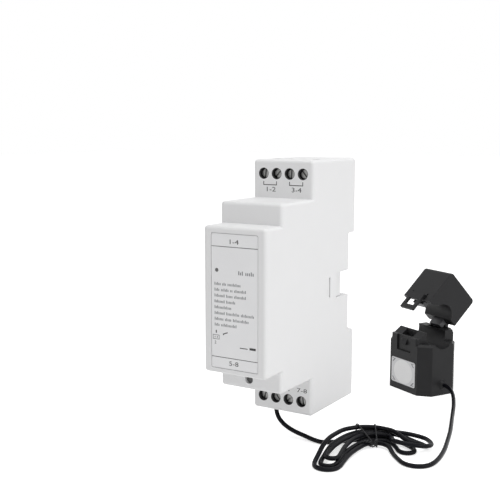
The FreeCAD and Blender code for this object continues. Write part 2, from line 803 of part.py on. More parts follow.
def clamp_base_case():
    x = clamp_length / 2
    y = half_clamp
    c = clamp_chamfer
    octagon = [(x - c, -y), (x, -y + c), (x, y - c), (x - c, y), (-x + c, y), (-x, y - c), (-x, -y + c),
               (-x + c, -y)]
    body = plan_prism(octagon, 0, clamp_shoulder)
    body = body.makeChamfer(0.9, [edge for edge in body.Edges if edge.BoundBox.ZMin > clamp_shoulder - 0.01])
    body = round_edges(body, 0.4, lambda edge: runs_along(edge, Vector(0, 0, 1)))
    block = side_prism([(-y, 1), (y, 1), (y, hinge_height + 0.4), (y - 1.0, hinge_height + 0.4),
                        (y - 1.0, clamp_split), (-pole_inner + 0.6, clamp_split),
                        (-pole_outer - 0.4, latch_wall_top), (-y, latch_wall_top)], -half_jaw, half_jaw)
    block = round_edges(block, 1.0, lambda edge: runs_along(edge, Vector(0, 0, 1))
                        and edge.Length > clamp_shoulder / 2)
    body = body.fuse(block)
    bore = rod(Vector(-x - 1, 0, aperture_height), Vector(x + 1, 0, aperture_height), aperture_diameter)
    body = body.cut(bore)
    # Wells for the poles of the jaw, and the hollow that holds core, bobbin and winding
    for side in (-1, 1):
        # The outer side gives the jaw's poles room to swing in
        y0, y1 = sorted((side * (pole_inner - well_gap), side * (pole_outer + well_gap + pole_swing)))
        body = body.cut(box(-pole_half - well_gap, pole_half + well_gap, y0, y1, pole_plane, jaw_top))
        y0, y1 = sorted((side * (pole_inner - 0.05), side * (pole_outer + 0.05)))
        body = body.cut(box(-pole_half - 0.05, pole_half + 0.05, y0, y1, core_low - 0.05, pole_plane + 1))
    body = body.cut(box(-pole_half - 0.05, pole_half + 0.05, -pole_outer, pole_outer, core_low - 0.05,
                        core_low + core_limb + 0.05))
    body = body.cut(box(-winding_length / 2 - 0.3, winding_length / 2 + 0.3, -pole_inner + 0.3,
                        pole_inner - 0.3, core_low - winding_depth - 0.3,
                        core_low + core_limb + winding_depth + 0.3))
    # Latch catch on the front wall, in a shallow recess that the latch loop drops over
    recess = box(-loop_width / 2 - 0.3, loop_width / 2 + 0.3, -y - 1, -y + 0.7, latch_wall_top - 6.6,
                 latch_wall_top + 1)
    body = body.cut(recess)
    catch = [(-y + 0.7, catch_z - 1.3), (-y - 0.5, catch_z - 1.1), (-y + 0.7, catch_z + 1.3)]
    body = body.fuse(side_prism(catch, -1.5, 1.5))
    # Hinge ears hold the pin, with a knuckle of the jaw between them
    for side in (-1, 1):
        ear_x = side * (knuckle_length / 2 + slide_gap + ear_width / 2)
        ear = rod(Vector(ear_x - ear_width / 2, hinge_y, hinge_height),
                  Vector(ear_x + ear_width / 2, hinge_y, hinge_height), knuckle_diameter)
        root = box(ear_x - ear_width / 2, ear_x + ear_width / 2, y - 0.5, hinge_y + 0.3,
                   hinge_height - 3.2, hinge_height)
        body = body.fuse([ear, root])
    body = body.cut(rod(Vector(-8, hinge_y, hinge_height), Vector(8, hinge_y, hinge_height),
                        pin_diameter + 0.02))
    knuckle_room = knuckle_length / 2 + slide_gap
    body = body.cut(box(-knuckle_room, knuckle_room, hinge_y - knuckle_diameter / 2 - slide_gap,
                        hinge_y + knuckle_diameter, hinge_height - knuckle_diameter / 2 - slide_gap,
                        jaw_top))
    # The cord comes in through a hole for its grommet
    body = body.cut(rod(Vector(x - case_wall - 3, 0, cord_exit_height), Vector(x + 1, 0, cord_exit_height),
                        grommet_diameter + 0.1))
    return clamp_place(body.removeSplitter())


def clamp_base_core():
    core = box(-pole_half, pole_half, -pole_outer, pole_outer, core_low, pole_plane)
    window = box(-pole_half - 1, pole_half + 1, -pole_inner, pole_inner, core_low + core_limb, pole_plane + 1)
    return clamp_place(core.cut(window))


def clamp_bobbin():
    # A square spool round the lower limb of the core
    flange = 0.6
    low = core_low - winding_depth
    high = core_low + core_limb + winding_depth
    y = pole_inner - 0.4
    outer = box(-winding_length / 2, winding_length / 2, -y, y, low, high)
    waist = outer.cut(box(-pole_half - 0.9, pole_half + 0.9, -y - 1, y + 1, core_low - 0.8,
                          core_low + core_limb + 0.8))
    ring = waist.common(box(-20, 20, -y + flange, y - flange, 0, 30))
    bobbin = outer.cut(ring)
    hole = box(-pole_half - 0.05, pole_half + 0.05, -y - 1, y + 1, core_low - 0.05,
               core_low + core_limb + 0.05)
    return clamp_place(bobbin.cut(hole).removeSplitter())


def clamp_winding():
    flange = 0.6
    y = pole_inner - 0.4 - flange
    outer = box(-winding_length / 2 + 0.2, winding_length / 2 - 0.2, -y, y,
                core_low - winding_depth + 0.2, core_low + core_limb + winding_depth - 0.2)
    outer = round_edges(outer, 1.2, lambda edge: runs_along(edge, Vector(0, 1, 0)))
    inner = box(-pole_half - 0.9, pole_half + 0.9, -y - 1, y + 1, core_low - 0.8, core_low + core_limb + 0.8)
    return clamp_place(outer.cut(inner))


def clamp_jaw_case():
    y0 = -half_clamp
    y1 = half_clamp - jaw_hinge_inset
    x = half_jaw
    body = box(-x, x, y0, y1, latch_wall_top, jaw_top)
    body = round_edges(body, 1.6, lambda edge: runs_along(edge, Vector(1, 0, 0))
                       and edge.BoundBox.ZMin > jaw_top - 0.1)
    body = round_edges(body, 0.5, lambda edge: runs_along(edge, Vector(0, 0, 1)))
    body = body.cut(side_prism(split_outline(0, None, jaw_gap), -x - 1, x + 1))
    body = body.cut(rod(Vector(-x - 1, 0, aperture_height), Vector(x + 1, 0, aperture_height),
                        aperture_diameter))
    # Hollow for the core and its spring, open downwards
    inside = 0.05
    low = pole_plane - 1
    for side in (-1, 1):
        ya, yb = sorted((side * (pole_inner - inside), side * (pole_outer + inside)))
        body = body.cut(box(-pole_half - inside, pole_half + inside, ya, yb, low, jaw_core_top + inside))
    body = body.cut(box(-pole_half - inside, pole_half + inside, -pole_outer, pole_outer,
                        jaw_core_top - core_limb - inside, jaw_core_top + jaw_spring_room))
    # The latch loop hangs from the front wall between two slits
    for side in (-1, 1):
        x0 = side * (loop_width / 2 + 0.45)
        body = body.cut(box(x0 - 0.35, x0 + 0.35, y0 - 1, y0 + 1.4, latch_wall_top - 1,
                            latch_wall_top + slit_rise))
    half_loop = loop_width / 2
    loop_front = y0 - 0.1 - loop_thickness
    loop = box(-half_loop, half_loop, loop_front, y0 - 0.1, loop_low, latch_wall_top + loop_rise)
    loop = round_edges(loop, 0.4, lambda edge: runs_along(edge, Vector(0, 1, 0)))
    loop = loop.cut(box(-half_loop + loop_arm, half_loop - loop_arm, y0 - 2, y0 + 1, loop_low + loop_bar,
                        latch_wall_top - 0.9))
    root = box(-half_loop + 0.1, half_loop - 0.1, loop_front + 0.1, y0 + 0.2, latch_wall_top + 0.8,
               latch_wall_top + loop_rise - 0.1)
    body = body.fuse([loop, root])
    # Hinge knuckle on an arm behind
    knuckle = rod(Vector(-knuckle_length / 2, hinge_y, hinge_height),
                  Vector(knuckle_length / 2, hinge_y, hinge_height), knuckle_diameter)
    hinge_arm = side_prism([(y1 - 0.6, clamp_split + 1.0), (hinge_y - 0.9, hinge_height + 1.2),
                            (hinge_y + 1.2, hinge_height + 0.6), (y1, clamp_split + 5.0),
                            (y1 - 0.6, clamp_split + 5.0)], -knuckle_length / 2, knuckle_length / 2)
    body = body.fuse([knuckle, hinge_arm])
    body = body.cut(rod(Vector(-8, hinge_y, hinge_height), Vector(8, hinge_y, hinge_height),
                        pin_diameter + 2 * 0.05))
    return jaw_place(body.removeSplitter())


def clamp_jaw_core():
    core = box(-pole_half, pole_half, -pole_outer, pole_outer, pole_plane + 0.05, jaw_core_top)
    window = box(-pole_half - 1, pole_half + 1, -pole_inner, pole_inner, 0, jaw_core_top - core_limb)
    return jaw_place(core.cut(window))


def clamp_core_spring():
    # A bowed leaf between the jaw's roof and its core
    low = jaw_core_top
    high = jaw_core_top + jaw_spring_room
    thick = 0.3
    length = 2 * pole_outer - 1.0
    middle = Vector(0, 0, high)
    ends = [Vector(0, -length / 2, low + thick), Vector(0, length / 2, low + thick)]
    upper = Part.Arc(ends[0], middle, ends[1]).toShape()
    lower = Part.Arc(Vector(0, -length / 2, low), middle - Vector(0, 0, thick),
                     Vector(0, length / 2, low)).toShape()
    sides = [Part.makeLine(Vector(0, y, low), Vector(0, y, low + thick))
             for y in (-length / 2, length / 2)]
    face = Part.Face(Part.Wire(Part.__sortEdges__([upper, lower] + sides)))
    leaf = face.extrude(Vector(5.0, 0, 0))
    leaf.translate(Vector(-2.5, 0, 0))
    return jaw_place(leaf)


def clamp_hinge_pin():
    reach = knuckle_length / 2 + slide_gap + ear_width
    return clamp_place(rod(Vector(-reach, hinge_y, hinge_height), Vector(reach, hinge_y, hinge_height),
                           pin_diameter))


def clamp_sticker():
    y = -half_clamp
    half = clamp_length / 2 - clamp_chamfer - sticker_margin
    plate = box(-half, half, y - sticker_thickness, y, sticker_low, sticker_low + sticker_height)
    return clamp_place(round_edges(plate, 0.8, lambda edge: runs_along(edge, Vector(0, 1, 0))))


def clamp_cord_grommet():
    x = clamp_length / 2
    z = cord_exit_height
    sleeve = rod(Vector(x - 2.6, 0, z), Vector(x, 0, z), grommet_diameter)
    collar = Part.makeCone(grommet_diameter / 2 + 0.4, cord_radius + 0.5, collar_length,
                           Vector(x, 0, z), Vector(1, 0, 0))
    bore = rod(Vector(x - 4, 0, z), Vector(x + 4, 0, z), cord_diameter + 0.06)
    return clamp_place(sleeve.fuse(collar).cut(bore).removeSplitter())


def clamp_point(x, y, z):
    turn = Rotation(Vector(0, 0, 1), clamp_turn)
    return turn.multVec(Vector(x, y, z)) + Vector(clamp_x, clamp_y, floor)


def rounded_route(name, points):
    # Straight runs joined by arcs, each as large as its two runs allow
    edges = []
    last = points[0]
    radii = []
    for before, corner, after in zip(points, points[1:], points[2:]):
        to_before = before - corner
        to_after = after - corner
        short = min(to_before.Length, to_after.Length)
        back = to_before.normalize() * (0.45 * short)
        ahead = to_after.normalize() * (0.45 * short)
        half_turn = (math.pi - back.getAngle(ahead)) / 2
        radii.append(0.45 * short / math.tan(half_turn))
        bisector = (back + ahead).normalize()
        centre = corner + bisector * (radii[-1] / math.cos(half_turn))
        middle = centre - bisector * radii[-1]
        edges.append(Part.LineSegment(last, corner + back).toShape())
        edges.append(Part.Arc(corner + back, middle, corner + ahead).toShape())
        last = corner + ahead
    edges.append(Part.LineSegment(last, points[-1]).toShape())
    length = sum(edge.Length for edge in edges)
    print(name, "length", round(length, 1), "radii", [round(r, 1) for r in radii])
    return edges, length


def free_tube(name, points, diameter):
    edges, length = rounded_route(name, points)
    solid = tube(edges, diameter)
    share = solid.Volume / (math.pi * diameter * diameter / 4 * length)
    print(name, "volume against section times length", round(share, 4), "valid", solid.isValid())
    return solid


# The lead leaves the first pole of the lower block, drops to the surface and runs to the hank
rest_z = floor + cord_radius
entry_x = pole_xs[0]
sheath_end = bottom + 0.6
lead_points = [
    Vector(entry_x, entry_y, sheath_end),
    Vector(entry_x, entry_y - 0.1, bottom - 3.7),
    Vector(-4.8, -19.3, bottom - 6.9),
    Vector(0.0, -19.8, bottom - 9.0),
    Vector(4.7, -18.4, rest_z + 0.5),
    Vector(8.8, -19.3, rest_z),
    Vector(13.2, -19.9, rest_z),
]

# The hank: its strands turn side by side round the waist centre, between left and right lobes
waist_centre = Vector(31.6, -15.6, 0)
waist_inner = 7.0
waist_lift = 0.7
left_arm = 263.0
right_arm = 3.0
strand_step = cord_diameter + hank_gap
lead_strand = 1.3
out_strand = -1.7
crossing_shares = (0.33, 0.67)

# The two wires that tie the waist: the strands inside them, and the play round those
tie_wire = 0.5
tie_play = 0.2
tie_bend = 1.6
tie_strands = (-1.6, 4.0)
left_tie_angle = 150.0
right_tie_angle = 120.0
left_tie_tail = 2.4
right_tie_tail = 1.4

# Each lobe: its far and its near strand at the waist, each as a number and a layer, then the
# length of its sides, the radius of its end, how far it turns in degrees, and how high the near
# end lies where it rests on another lobe
right_lobes = [
    ((1.1, 0), (0, 0), 10.5, 3.1, -50.0, 0.0),
    ((3.1, 1), (0.9, 1), 8.5, 7.2, -4.0, 3.3),
    ((2, 1), (1.6, 2), 9.6, 3.5, 6.0, 2.6),
]
left_length = 21.0
left_turn = -24.0
left_end = 2.0
left_lobes = [
    ((3.1, 1), (0, 0), left_length, left_end + 1.09 * strand_step, left_turn, 0.0),
    ((2, 1), (0.9, 1), left_length, left_end, left_turn, 0.0),
    ((4, 2), (-1.2, 0), left_length, left_end + 2.24 * strand_step, left_turn, 0.0),
]
right_drop = 0.1
left_drop = 0.45
opening = 0.5


def arm_frame(angle):
    turn = math.radians(angle)
    along = Vector(math.cos(turn), math.sin(turn), 0)
    return along, Vector(-along.y, along.x, 0)


def strand_place(strand, layer):
    return waist_inner + strand * strand_step, rest_z + waist_lift + layer * strand_step


def ease(share):
    share = min(1, max(0, share))
    return share * share * (3 - 2 * share)


def lobe_stations(angle, outward, drop_start, far, near, length, end_radius, turn, near_height):
    # A drop-shaped loop from its far strand at the waist, round its end, to its near strand
    along, across = arm_frame(angle)
    across = across * outward
    r0, z0 = strand_place(*far)
    r1, z1 = strand_place(*near)
    half_gap = (r0 - r1) / 2
    bend = math.radians(turn) / length

    def place(u, v, height):
        spot = waist_centre + along * u + across * (v + (r0 + r1) / 2)
        return Vector(spot.x, spot.y, height)

    def side_point(side, high, low, run):
        share = run / length
        opened = opening * share + (3 - 2 * opening) * share ** 2 + (opening - 2) * share ** 3
        offset = side * (half_gap + (end_radius - half_gap) * opened)
        u = math.sin(bend * run) / bend - offset * math.sin(bend * run)
        v = (1 - math.cos(bend * run)) / bend + offset * math.cos(bend * run)
        return place(u, v, high + (low - high) * ease((share - drop_start) / (1 - drop_start)))

    def end_point(swing):
        whole = bend * length
        u = math.sin(whole) / bend + end_radius * math.cos(swing + whole)
        v = (1 - math.cos(whole)) / bend + end_radius * math.sin(swing + whole)
        return place(u, v, rest_z + near_height * ease(-swing / (math.pi / 2)))

    def far_side(run):
        return side_point(1, z0, rest_z, run)

    def near_side(run):
        return side_point(-1, z1, rest_z + near_height, run)

    runs = [length * n / 5 for n in range(6)]
    spots = [far_side(run) for run in runs]
    ways = [heading_of(far_side, run) for run in runs]
    for swing in (math.pi / 4, 0, -math.pi / 4):
        spots.append(end_point(swing))
        ways.append(heading_of(end_point, swing) * -1)
    spots += [near_side(run) for run in runs[::-1]]
    ways += [heading_of(near_side, run) * -1 for run in runs[::-1]]
    return spots, ways


def hank_route():
    first_run = (lead_points[-1] - lead_points[-2]).normalize()
    last_run = (tail_points[1] - tail_points[0]).normalize()
    begin = lead_points[-1]
    stations = [begin, begin + first_run * cord_diameter]
    headings = [first_run, first_run]

    def cross_waist(start, end, way, shares=crossing_shares):
        # Between the arms a strand follows a spiral from its one radius to its other
        arms = (left_arm - 90, right_arm + 90) if way > 0 else (right_arm + 90, left_arm - 90)
        r0, z0 = strand_place(*start)
        r1, z1 = strand_place(*end)
        swing = math.radians(arms[1] - arms[0])
        for share in shares:
            angle = math.radians(arms[0]) + swing * share
            out = Vector(math.cos(angle), math.sin(angle), 0)
            round_way = Vector(-out.y, out.x, 0)
            radius = r0 + (r1 - r0) * share
            height = z0 + (z1 - z0) * share
            stations.append(Vector(waist_centre.x, waist_centre.y, height) + out * radius)
            headings.append((round_way * (radius * swing) + out * (r1 - r0)
                             + Vector(0, 0, z1 - z0)).normalize())

    cross_waist((lead_strand, 0), right_lobes[0][0], 1, (0.5,))
    for n, (right, left) in enumerate(zip(right_lobes, left_lobes)):
        spots, ways = lobe_stations(right_arm, 1, right_drop, *right)
        stations += spots
        headings += ways
        last = n == len(left_lobes) - 1
        cross_waist(right[1], left[0] if last else left[1], -1)
        spots, ways = lobe_stations(left_arm, -1, left_drop, *left)
        stations += spots if last else spots[::-1]
        headings += ways if last else [way * -1 for way in ways[::-1]]
        if not last:
            cross_waist(left[0], right_lobes[n + 1][0], 1)
    # The strand that leads out turns on round the waist centre until it heads for the tail
    radius, height = strand_place(out_strand, 0)
    side = Vector(-last_run.y, last_run.x, 0)
    stations.append(Vector(waist_centre.x, waist_centre.y, height) + side * radius)
    headings.append(last_run)
    stations += [tail_points[0] - last_run * cord_diameter, tail_points[0]]
    headings += [last_run, last_run]
    return stations, headings


tail_points = [
    Vector(37.4, -16.7, rest_z),
    Vector(40.5, -20.2, rest_z),
    Vector(44.4, -24.0, rest_z),
    Vector(48.9, -24.3, rest_z),
    Vector(52.3, -21.4, rest_z),
    Vector(53.0, -15.3, rest_z),
    Vector(51.6, -5.0, rest_z),
    Vector(49.1, 5.1, rest_z),
    Vector(46.5, 15.2, rest_z),
    Vector(43.4, 25.2, rest_z),
    Vector(40.4, 34.8, rest_z),
    Vector(37.6, 44.2, rest_z + 0.9),
    Vector(34.4, 52.4, rest_z + 2.5),
    clamp_point(clamp_length / 2 + 4.2, 0, cord_exit_height),
    clamp_point(clamp_length / 2 + 0.7, 0, cord_exit_height),
]


def hank_tie(angle, tail):
    # A thin wire round all the strands of the waist, with its ends turned up beside the knot
    r_low = strand_place(tie_strands[0], 0)[0] - cord_radius - tie_play
    r_high = strand_place(tie_strands[1], 0)[0] + cord_radius + tie_play
    z_low = rest_z + waist_lift - cord_radius - tie_play - tie_wire
    z_high = strand_place(0, 2)[1] + cord_radius + tie_play + tie_wire
    outer = Part.makeBox(tie_wire, r_high - r_low + 2 * tie_wire, z_high - z_low,
                         Vector(-tie_wire / 2, r_low - tie_wire, z_low))
    outer = round_edges(outer, tie_bend, lambda edge: runs_along(edge, Vector(1, 0, 0)))
    inner = Part.makeBox(2 * tie_wire, r_high - r_low, z_high - z_low - 2 * tie_wire,
                         Vector(-tie_wire, r_low, z_low + tie_wire))
    inner = round_edges(inner, tie_bend - tie_wire, lambda edge: runs_along(edge, Vector(1, 0, 0)))
    ring = outer.cut(inner)
    start = Vector(0, r_low - tie_wire / 2, (z_low + z_high) / 2)
    ring = ring.fuse(rod(start, start + Vector(tail / 4, -tail, -tail / 4), tie_wire))
    ring.rotate(Vector(0, 0, 0), Vector(0, 0, 1), angle - 90)
    ring.translate(waist_centre)
    return ring.removeSplitter()


def cord_cores():
    # Two cores part in the mouth of the first pole and run to the cages of the first two
    z_cross = bottom + wall + core_room / 2 + 0.1
    z_end = screw_z["bottom"] + cage_length / 2
    grip_y = wire_front + core_diameter / 2 + 0.01
    side = core_diameter / 2 + 0.03
    straight = [
        Vector(entry_x - side, entry_y, sheath_end),
        Vector(entry_x - side, entry_y, z_cross - 0.4),
        Vector(entry_x - side, grip_y, z_cross + 0.5),
        Vector(entry_x - side, grip_y, z_end),
    ]
    crossing = [
        Vector(entry_x + side, entry_y, sheath_end),
        Vector(entry_x + side, entry_y - 0.4, z_cross),
        Vector(pole_xs[1] - 0.2, grip_y, z_cross),
        Vector(pole_xs[1] - 0.2, grip_y, z_end),
    ]
    return Part.makeCompound([free_tube("core 1", straight, core_diameter),
                              free_tube("core 2", crossing, core_diameter)])


def cord_hank():
    stations, headings = hank_route()
    edges = biarc_edges(stations, headings)
    gap, length = least_gap(edges, cord_diameter)
    tightest = min(edge.Curve.Radius for edge in edges if hasattr(edge.Curve, "Radius"))
    solid = tube(edges, cord_diameter)
    share = solid.Volume / (math.pi * cord_radius ** 2 * length)
    print("hank length", round(length, 1), "least gap", round(gap, 2), "least radius", round(tightest, 1),
          "volume against section times length", round(share, 4), "valid", solid.isValid())
    return solid


def least_gap(edges, diameter):
    # The smallest distance between stretches of the tube that aren't next to each other
    spots = []
    run = 0.0
    for edge in edges:
        count = max(2, int(edge.Length / 0.8))
        for n in range(count):
            spots.append((run + edge.Length * n / count, edge.valueAt(
                edge.getParameterByLength(edge.Length * n / count))))
        run += edge.Length
    best = 1e9
    for i, (run_a, a) in enumerate(spots):
        for run_b, b in spots[i + 1:]:
            if run_b - run_a > 4 * diameter:
                best = min(best, (a - b).Length)
    return best - diameter, run


def main():
    os.makedirs("parts", exist_ok=True)
    nodes = {}
    nodes["housing_shell"] = housing_shell()
    nodes["rear_base"] = rear_base()
    nodes["label_panel"] = label_panel()
    nodes["status_light_pipe"] = status_light_pipe()
    nodes["rail_latch"] = rail_latch()
    nodes["latch_spring"] = latch_spring()
    nodes["reset_button"] = reset_button()
    nodes["reset_switch"] = reset_switch()
    nodes["power_board"] = power_board()
    nodes["logic_board"] = logic_board()
    nodes["board_header"] = board_header()
    nodes["status_led"] = status_led()
    nodes["radio_module"] = radio_module()
    nodes["meter_chip"] = meter_chip()
    nodes["transformer_core"] = transformer_core()
    nodes["transformer_winding"] = transformer_winding()
    nodes["filter_capacitor"] = filter_capacitor()
    nodes["varistor"] = varistor()
    for end in ("top", "bottom"):
        nodes["terminal_block_" + end] = terminal_block(end)
        nodes["terminal_contacts_" + end] = terminal_contacts(end)
        for n, x in enumerate(pole_xs):
            label = end + "_" + str(n + 1)
            wired = end == "bottom" and n < 2
            nodes["terminal_screw_" + label] = terminal_screw(x, screw_z[end], slot_angles[end][n])
            nodes["wire_cage_" + label] = wire_cage(x, screw_z[end], gripped if wired else 0.0)
    nodes["clamp_base_case"] = clamp_base_case()
    nodes["clamp_base_core"] = clamp_base_core()
    nodes["clamp_bobbin"] = clamp_bobbin()
    nodes["clamp_winding"] = clamp_winding()
    nodes["clamp_jaw_case"] = clamp_jaw_case()
    nodes["clamp_jaw_core"] = clamp_jaw_core()
    nodes["clamp_core_spring"] = clamp_core_spring()
    nodes["clamp_hinge_pin"] = clamp_hinge_pin()
    nodes["clamp_sticker"] = clamp_sticker()
    nodes["clamp_cord_grommet"] = clamp_cord_grommet()
    nodes["cord_cores"] = cord_cores()
    nodes["cord_lead"] = free_tube("lead", lead_points, cord_diameter)
    nodes["cord_tail"] = free_tube("tail", tail_points, cord_diameter)
    nodes["cord_hank"] = cord_hank()
    nodes["hank_tie_left"] = hank_tie(left_tie_angle, left_tie_tail)
    nodes["hank_tie_right"] = hank_tie(right_tie_angle, right_tie_tail)
    for name, shape in nodes.items():
        if not shape.isValid():
            print("not valid:", name)
        shape.exportStep("parts/" + name + ".step")
    print(len(nodes), "nodes")


main()
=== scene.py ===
# A narrow rail energy meter and its open current clamp, joined by a thin lead that is tied in a hank.
import math

import bmesh
import bpy
from mathutils import Matrix, Vector


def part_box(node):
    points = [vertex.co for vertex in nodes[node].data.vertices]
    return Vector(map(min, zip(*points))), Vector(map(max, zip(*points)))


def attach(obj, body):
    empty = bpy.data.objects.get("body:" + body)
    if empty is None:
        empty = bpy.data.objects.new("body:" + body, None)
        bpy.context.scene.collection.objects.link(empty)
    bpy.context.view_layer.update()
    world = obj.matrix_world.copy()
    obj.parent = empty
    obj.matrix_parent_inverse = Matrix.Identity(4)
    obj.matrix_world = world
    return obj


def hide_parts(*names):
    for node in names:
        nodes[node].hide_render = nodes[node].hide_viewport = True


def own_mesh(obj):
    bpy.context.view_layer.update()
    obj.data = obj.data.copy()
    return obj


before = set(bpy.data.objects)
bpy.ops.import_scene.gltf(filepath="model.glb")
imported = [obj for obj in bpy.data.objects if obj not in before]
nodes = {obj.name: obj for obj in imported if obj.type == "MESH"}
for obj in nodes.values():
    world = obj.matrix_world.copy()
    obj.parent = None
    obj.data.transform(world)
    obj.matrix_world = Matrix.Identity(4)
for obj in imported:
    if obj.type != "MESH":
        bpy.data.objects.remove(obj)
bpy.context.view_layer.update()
MM = 0.001

# The camera stands in front and to the right, and looks a little down: its place in metres, its
# turn and its dip in degrees
camera_place = Vector((0.1545, -0.296, 0.0558))
camera_turn = 31.96
camera_dip = 7.71
camera_lens = 65.7
camera_sensor = 36.0
camera_near = 0.01

# The cord in millimetres, and its route from the first lower pole to the hank
cord_diameter = 1.6
cord_radius = cord_diameter / 2
floor_z = -55.35
rest_z = floor_z + cord_radius
lead_points = [
    Vector((-7.62, -18.325, -42.75)),
    Vector((-7.62, -18.425, -47.05)),
    Vector((-4.8, -19.3, -50.25)),
    Vector((0.0, -19.8, -52.35)),
    Vector((4.7, -18.4, rest_z + 0.5)),
    Vector((8.8, -19.3, rest_z)),
    Vector((13.2, -19.9, rest_z)),
]

# The hank: its strands turn side by side round the waist centre, between left and right lobes.
# A strand is counted outwards from the waist's inner radius, and each arm points in degrees
waist_centre = Vector((31.6, -15.6, 0))
waist_inner = 7.0
waist_lift = 0.7
strand_step = cord_diameter + 0.12
left_arm = 263.0
right_arm = 3.0
lead_strand = 1.3
out_strand = -1.7

# Where a crossing has its points, as shares of its way round the waist
crossing_shares = (0.33, 0.67)
first_crossing_shares = (0.3, 0.65)
last_crossing_shares = (0.5, 1)

# Each lobe: its far and its near strand at the waist, each as a number and a layer, the length of
# its sides, the radius of its end, how far it turns in degrees, and how high its far and its near
# side lie where they rest on another lobe
right_lobes = [
    dict(far=(1.1, 0), near=(0, 0), length=10.5, end_radius=2.9, turn=-52.0),
    dict(far=(3.1, 1), near=(0.9, 1), length=9.5, end_radius=7.6, turn=-30.0,
         far_height=1.2, near_height=3.3),
    dict(far=(2, 1), near=(1.6, 2), length=11.0, end_radius=3.6, turn=-16.0, near_height=2.6),
]
left_turn = -20.0
left_lobes = [
    dict(far=(3.1, 1), near=(0, 0), length=22.5, end_radius=2.7, turn=left_turn),
    dict(far=(2, 1), near=(0.9, 1), length=19.5, end_radius=2.2, turn=left_turn,
         far_height=1.5, near_height=1.5),
    dict(far=(4, 2), near=(-1.2, 0), length=24.0, end_radius=4.45, turn=left_turn),
]

# A lobe's sides start to come down at a share of their length, and each has as many steps. They
# spread apart at a first slope, and lie parallel where the round end begins
right_drop = 0.1
left_drop = 0.45
opening = 0.5
side_steps = 5

# The wires that tie the waist. Each lies in an upright plane at its own angle, and goes round the
# strands that cross it between a least and a greatest reach from the waist centre
tie_wire = 0.5
tie_slack = 0.06
tie_reach = (2.0, 17.0)
tie_steps = 36
tie_angles = {"left": 150.0, "right": 120.0}

# A tie's two ends are twisted together: where they start, bend and stop, then how they wind and splay
tie_ends = {
    "left": (Vector((29.0, -14.2, -53.4)), Vector((27.0, -16.2, -51.2)), Vector((24.2, -17.0, -54.6))),
    "right": (Vector((30.2, -13.1, -52.4)), Vector((29.8, -14.6, -51.6)), Vector((30.6, -16.0, -53.9))),
}
twist_turns = 2.5
twist_steps = 26
twist_spread = 0.52
splay_spread = 0.9
splay_start = 0.8

# The clamp stands turned on the surface
clamp_place = Vector((15.3, 66.3, floor_z))
clamp_turn = Matrix.Rotation(math.radians(-28.8), 3, "Z")
clamp_half_length = 13.3
clamp_half_width = 10.1
cord_exit_height = 4.5

# The clamp's sticker, then the oval and the corner marks on it, across and up from its middle
sticker_low = 2.8
sticker_height = 10.7
sticker_thickness = 0.12
oval_reach = (6.0, 5.0)
corner_reach = (6.2, 3.9)
corner_bar = (1.9, 0.5)
corner_line = (2.1, 0.22)
corner_line_shift = (0.2, 0.75)

# The coil spring behind the rail latch, which shortens as the latch comes down: its wire, its turns, and
# the steps in each turn
coil_wire = 0.4
coil_turns = 6
coil_steps = 12

# The terminals' faces lie behind the housing's front, and their poles stand at an even pitch
terminal_setback = 30.6
pole_pitch = 5.08
pole_count = 4
pole_xs = [pole_pitch * (n - (pole_count - 1) / 2) for n in range(pole_count)]

# The dark rings of painted shade in the screw holes, where the holes' shadow falls, start a little inside
# the face
shade_ring_outer = 1.93
shade_ring_inner = 1.8
shade_ring_depth = 1.75
shade_ring_inset = 0.02

# Printed marks are thin plates of ink, sunk a little into a face that looks forwards. Their places
# are across from the meter's middle and up from the rail's
ink_thickness = 0.02
ink_sink = 0.005
digit_share = 0.72
rule_heights = (18.15, -17.8)
rule_width = 0.2

# The label's bars: the middle of each, its width and height, and its slope in degrees
label_bars = [
    (6.8, -13.8, 2.3, 0.75, 0),
    (3.5, -13.95, 2.9, 0.28, 0),
    (-3.5, -9.85, 1.9, 0.32, -20),
    (-4.15, -10.2, 0.45, 0.45, -20),
]

# The small print: blocks at a pitch, each with a share of it as its width. A low block is a share
# of a tall one, and a row is its right end and the blocks that it leaves out
block_width = 0.55
low_block = 0.72
title_span = (1.35, 7.3)
title_top = 10.1
title_height = 1.25
title_pitch = 0.66
title_gaps = (3,)
print_left = -7.65
print_top = 6.1
print_step = 1.9
print_height = 0.95
print_pitch = 0.5
print_rows = [
    (2.6, (5, 9)),
    (4.65, (4, 11, 14)),
    (4.4, (8, 14)),
    (0.45, (8,)),
    (-0.85, ()),
    (7.35, (8, 19)),
    (5.4, (7, 13)),
    (0.85, (4,)),
]

# The wiring sketch's box and the two pins in it
sketch_box = (-7.0, -11.35, 2.5, 1.5)
sketch_line = 0.18
sketch_pins = (-7.45, -6.55)
sketch_pin_size = (0.3, 0.5)

# Numbers: the text, its middle, its height and its width
label_numbers = [
    ("1-4", -0.3, 19.75, 1.5, 3.3),
    ("5-8", -0.3, -19.55, 1.5, 3.5),
    ("1", -6.95, -9.6, 1.0, 0.4),
    ("2", -7.3, -13.2, 1.0, 0.6),
]
terminal_numbers = [
    ("1-2", -4.9, 34.45, 1.6, 3.5),
    ("3-4", 5.2, 34.45, 1.6, 3.7),
    ("5-6", -5.1, -34.7, 1.45, 3.7),
    ("7-8", 7.9, -34.7, 1.45, 3.9),
]

# The brackets under the upper screw holes: their line, the middle of the level bar and of the legs,
# and the legs' height. The dot stands between the lower numbers
bracket_line = 0.26
bracket_low = 36.05
bracket_leg = 36.6
bracket_leg_height = 1.3
terminal_dot = (2.74, -35.3, 0.4, 0.4)

# A finish drifts slowly in tone and gloss, over noise between a low and a high value
drift_scale = 90
drift_detail = 3
drift_low = 0.3
drift_high = 0.7
gloss_drift = 0.05
grain_detail = 4

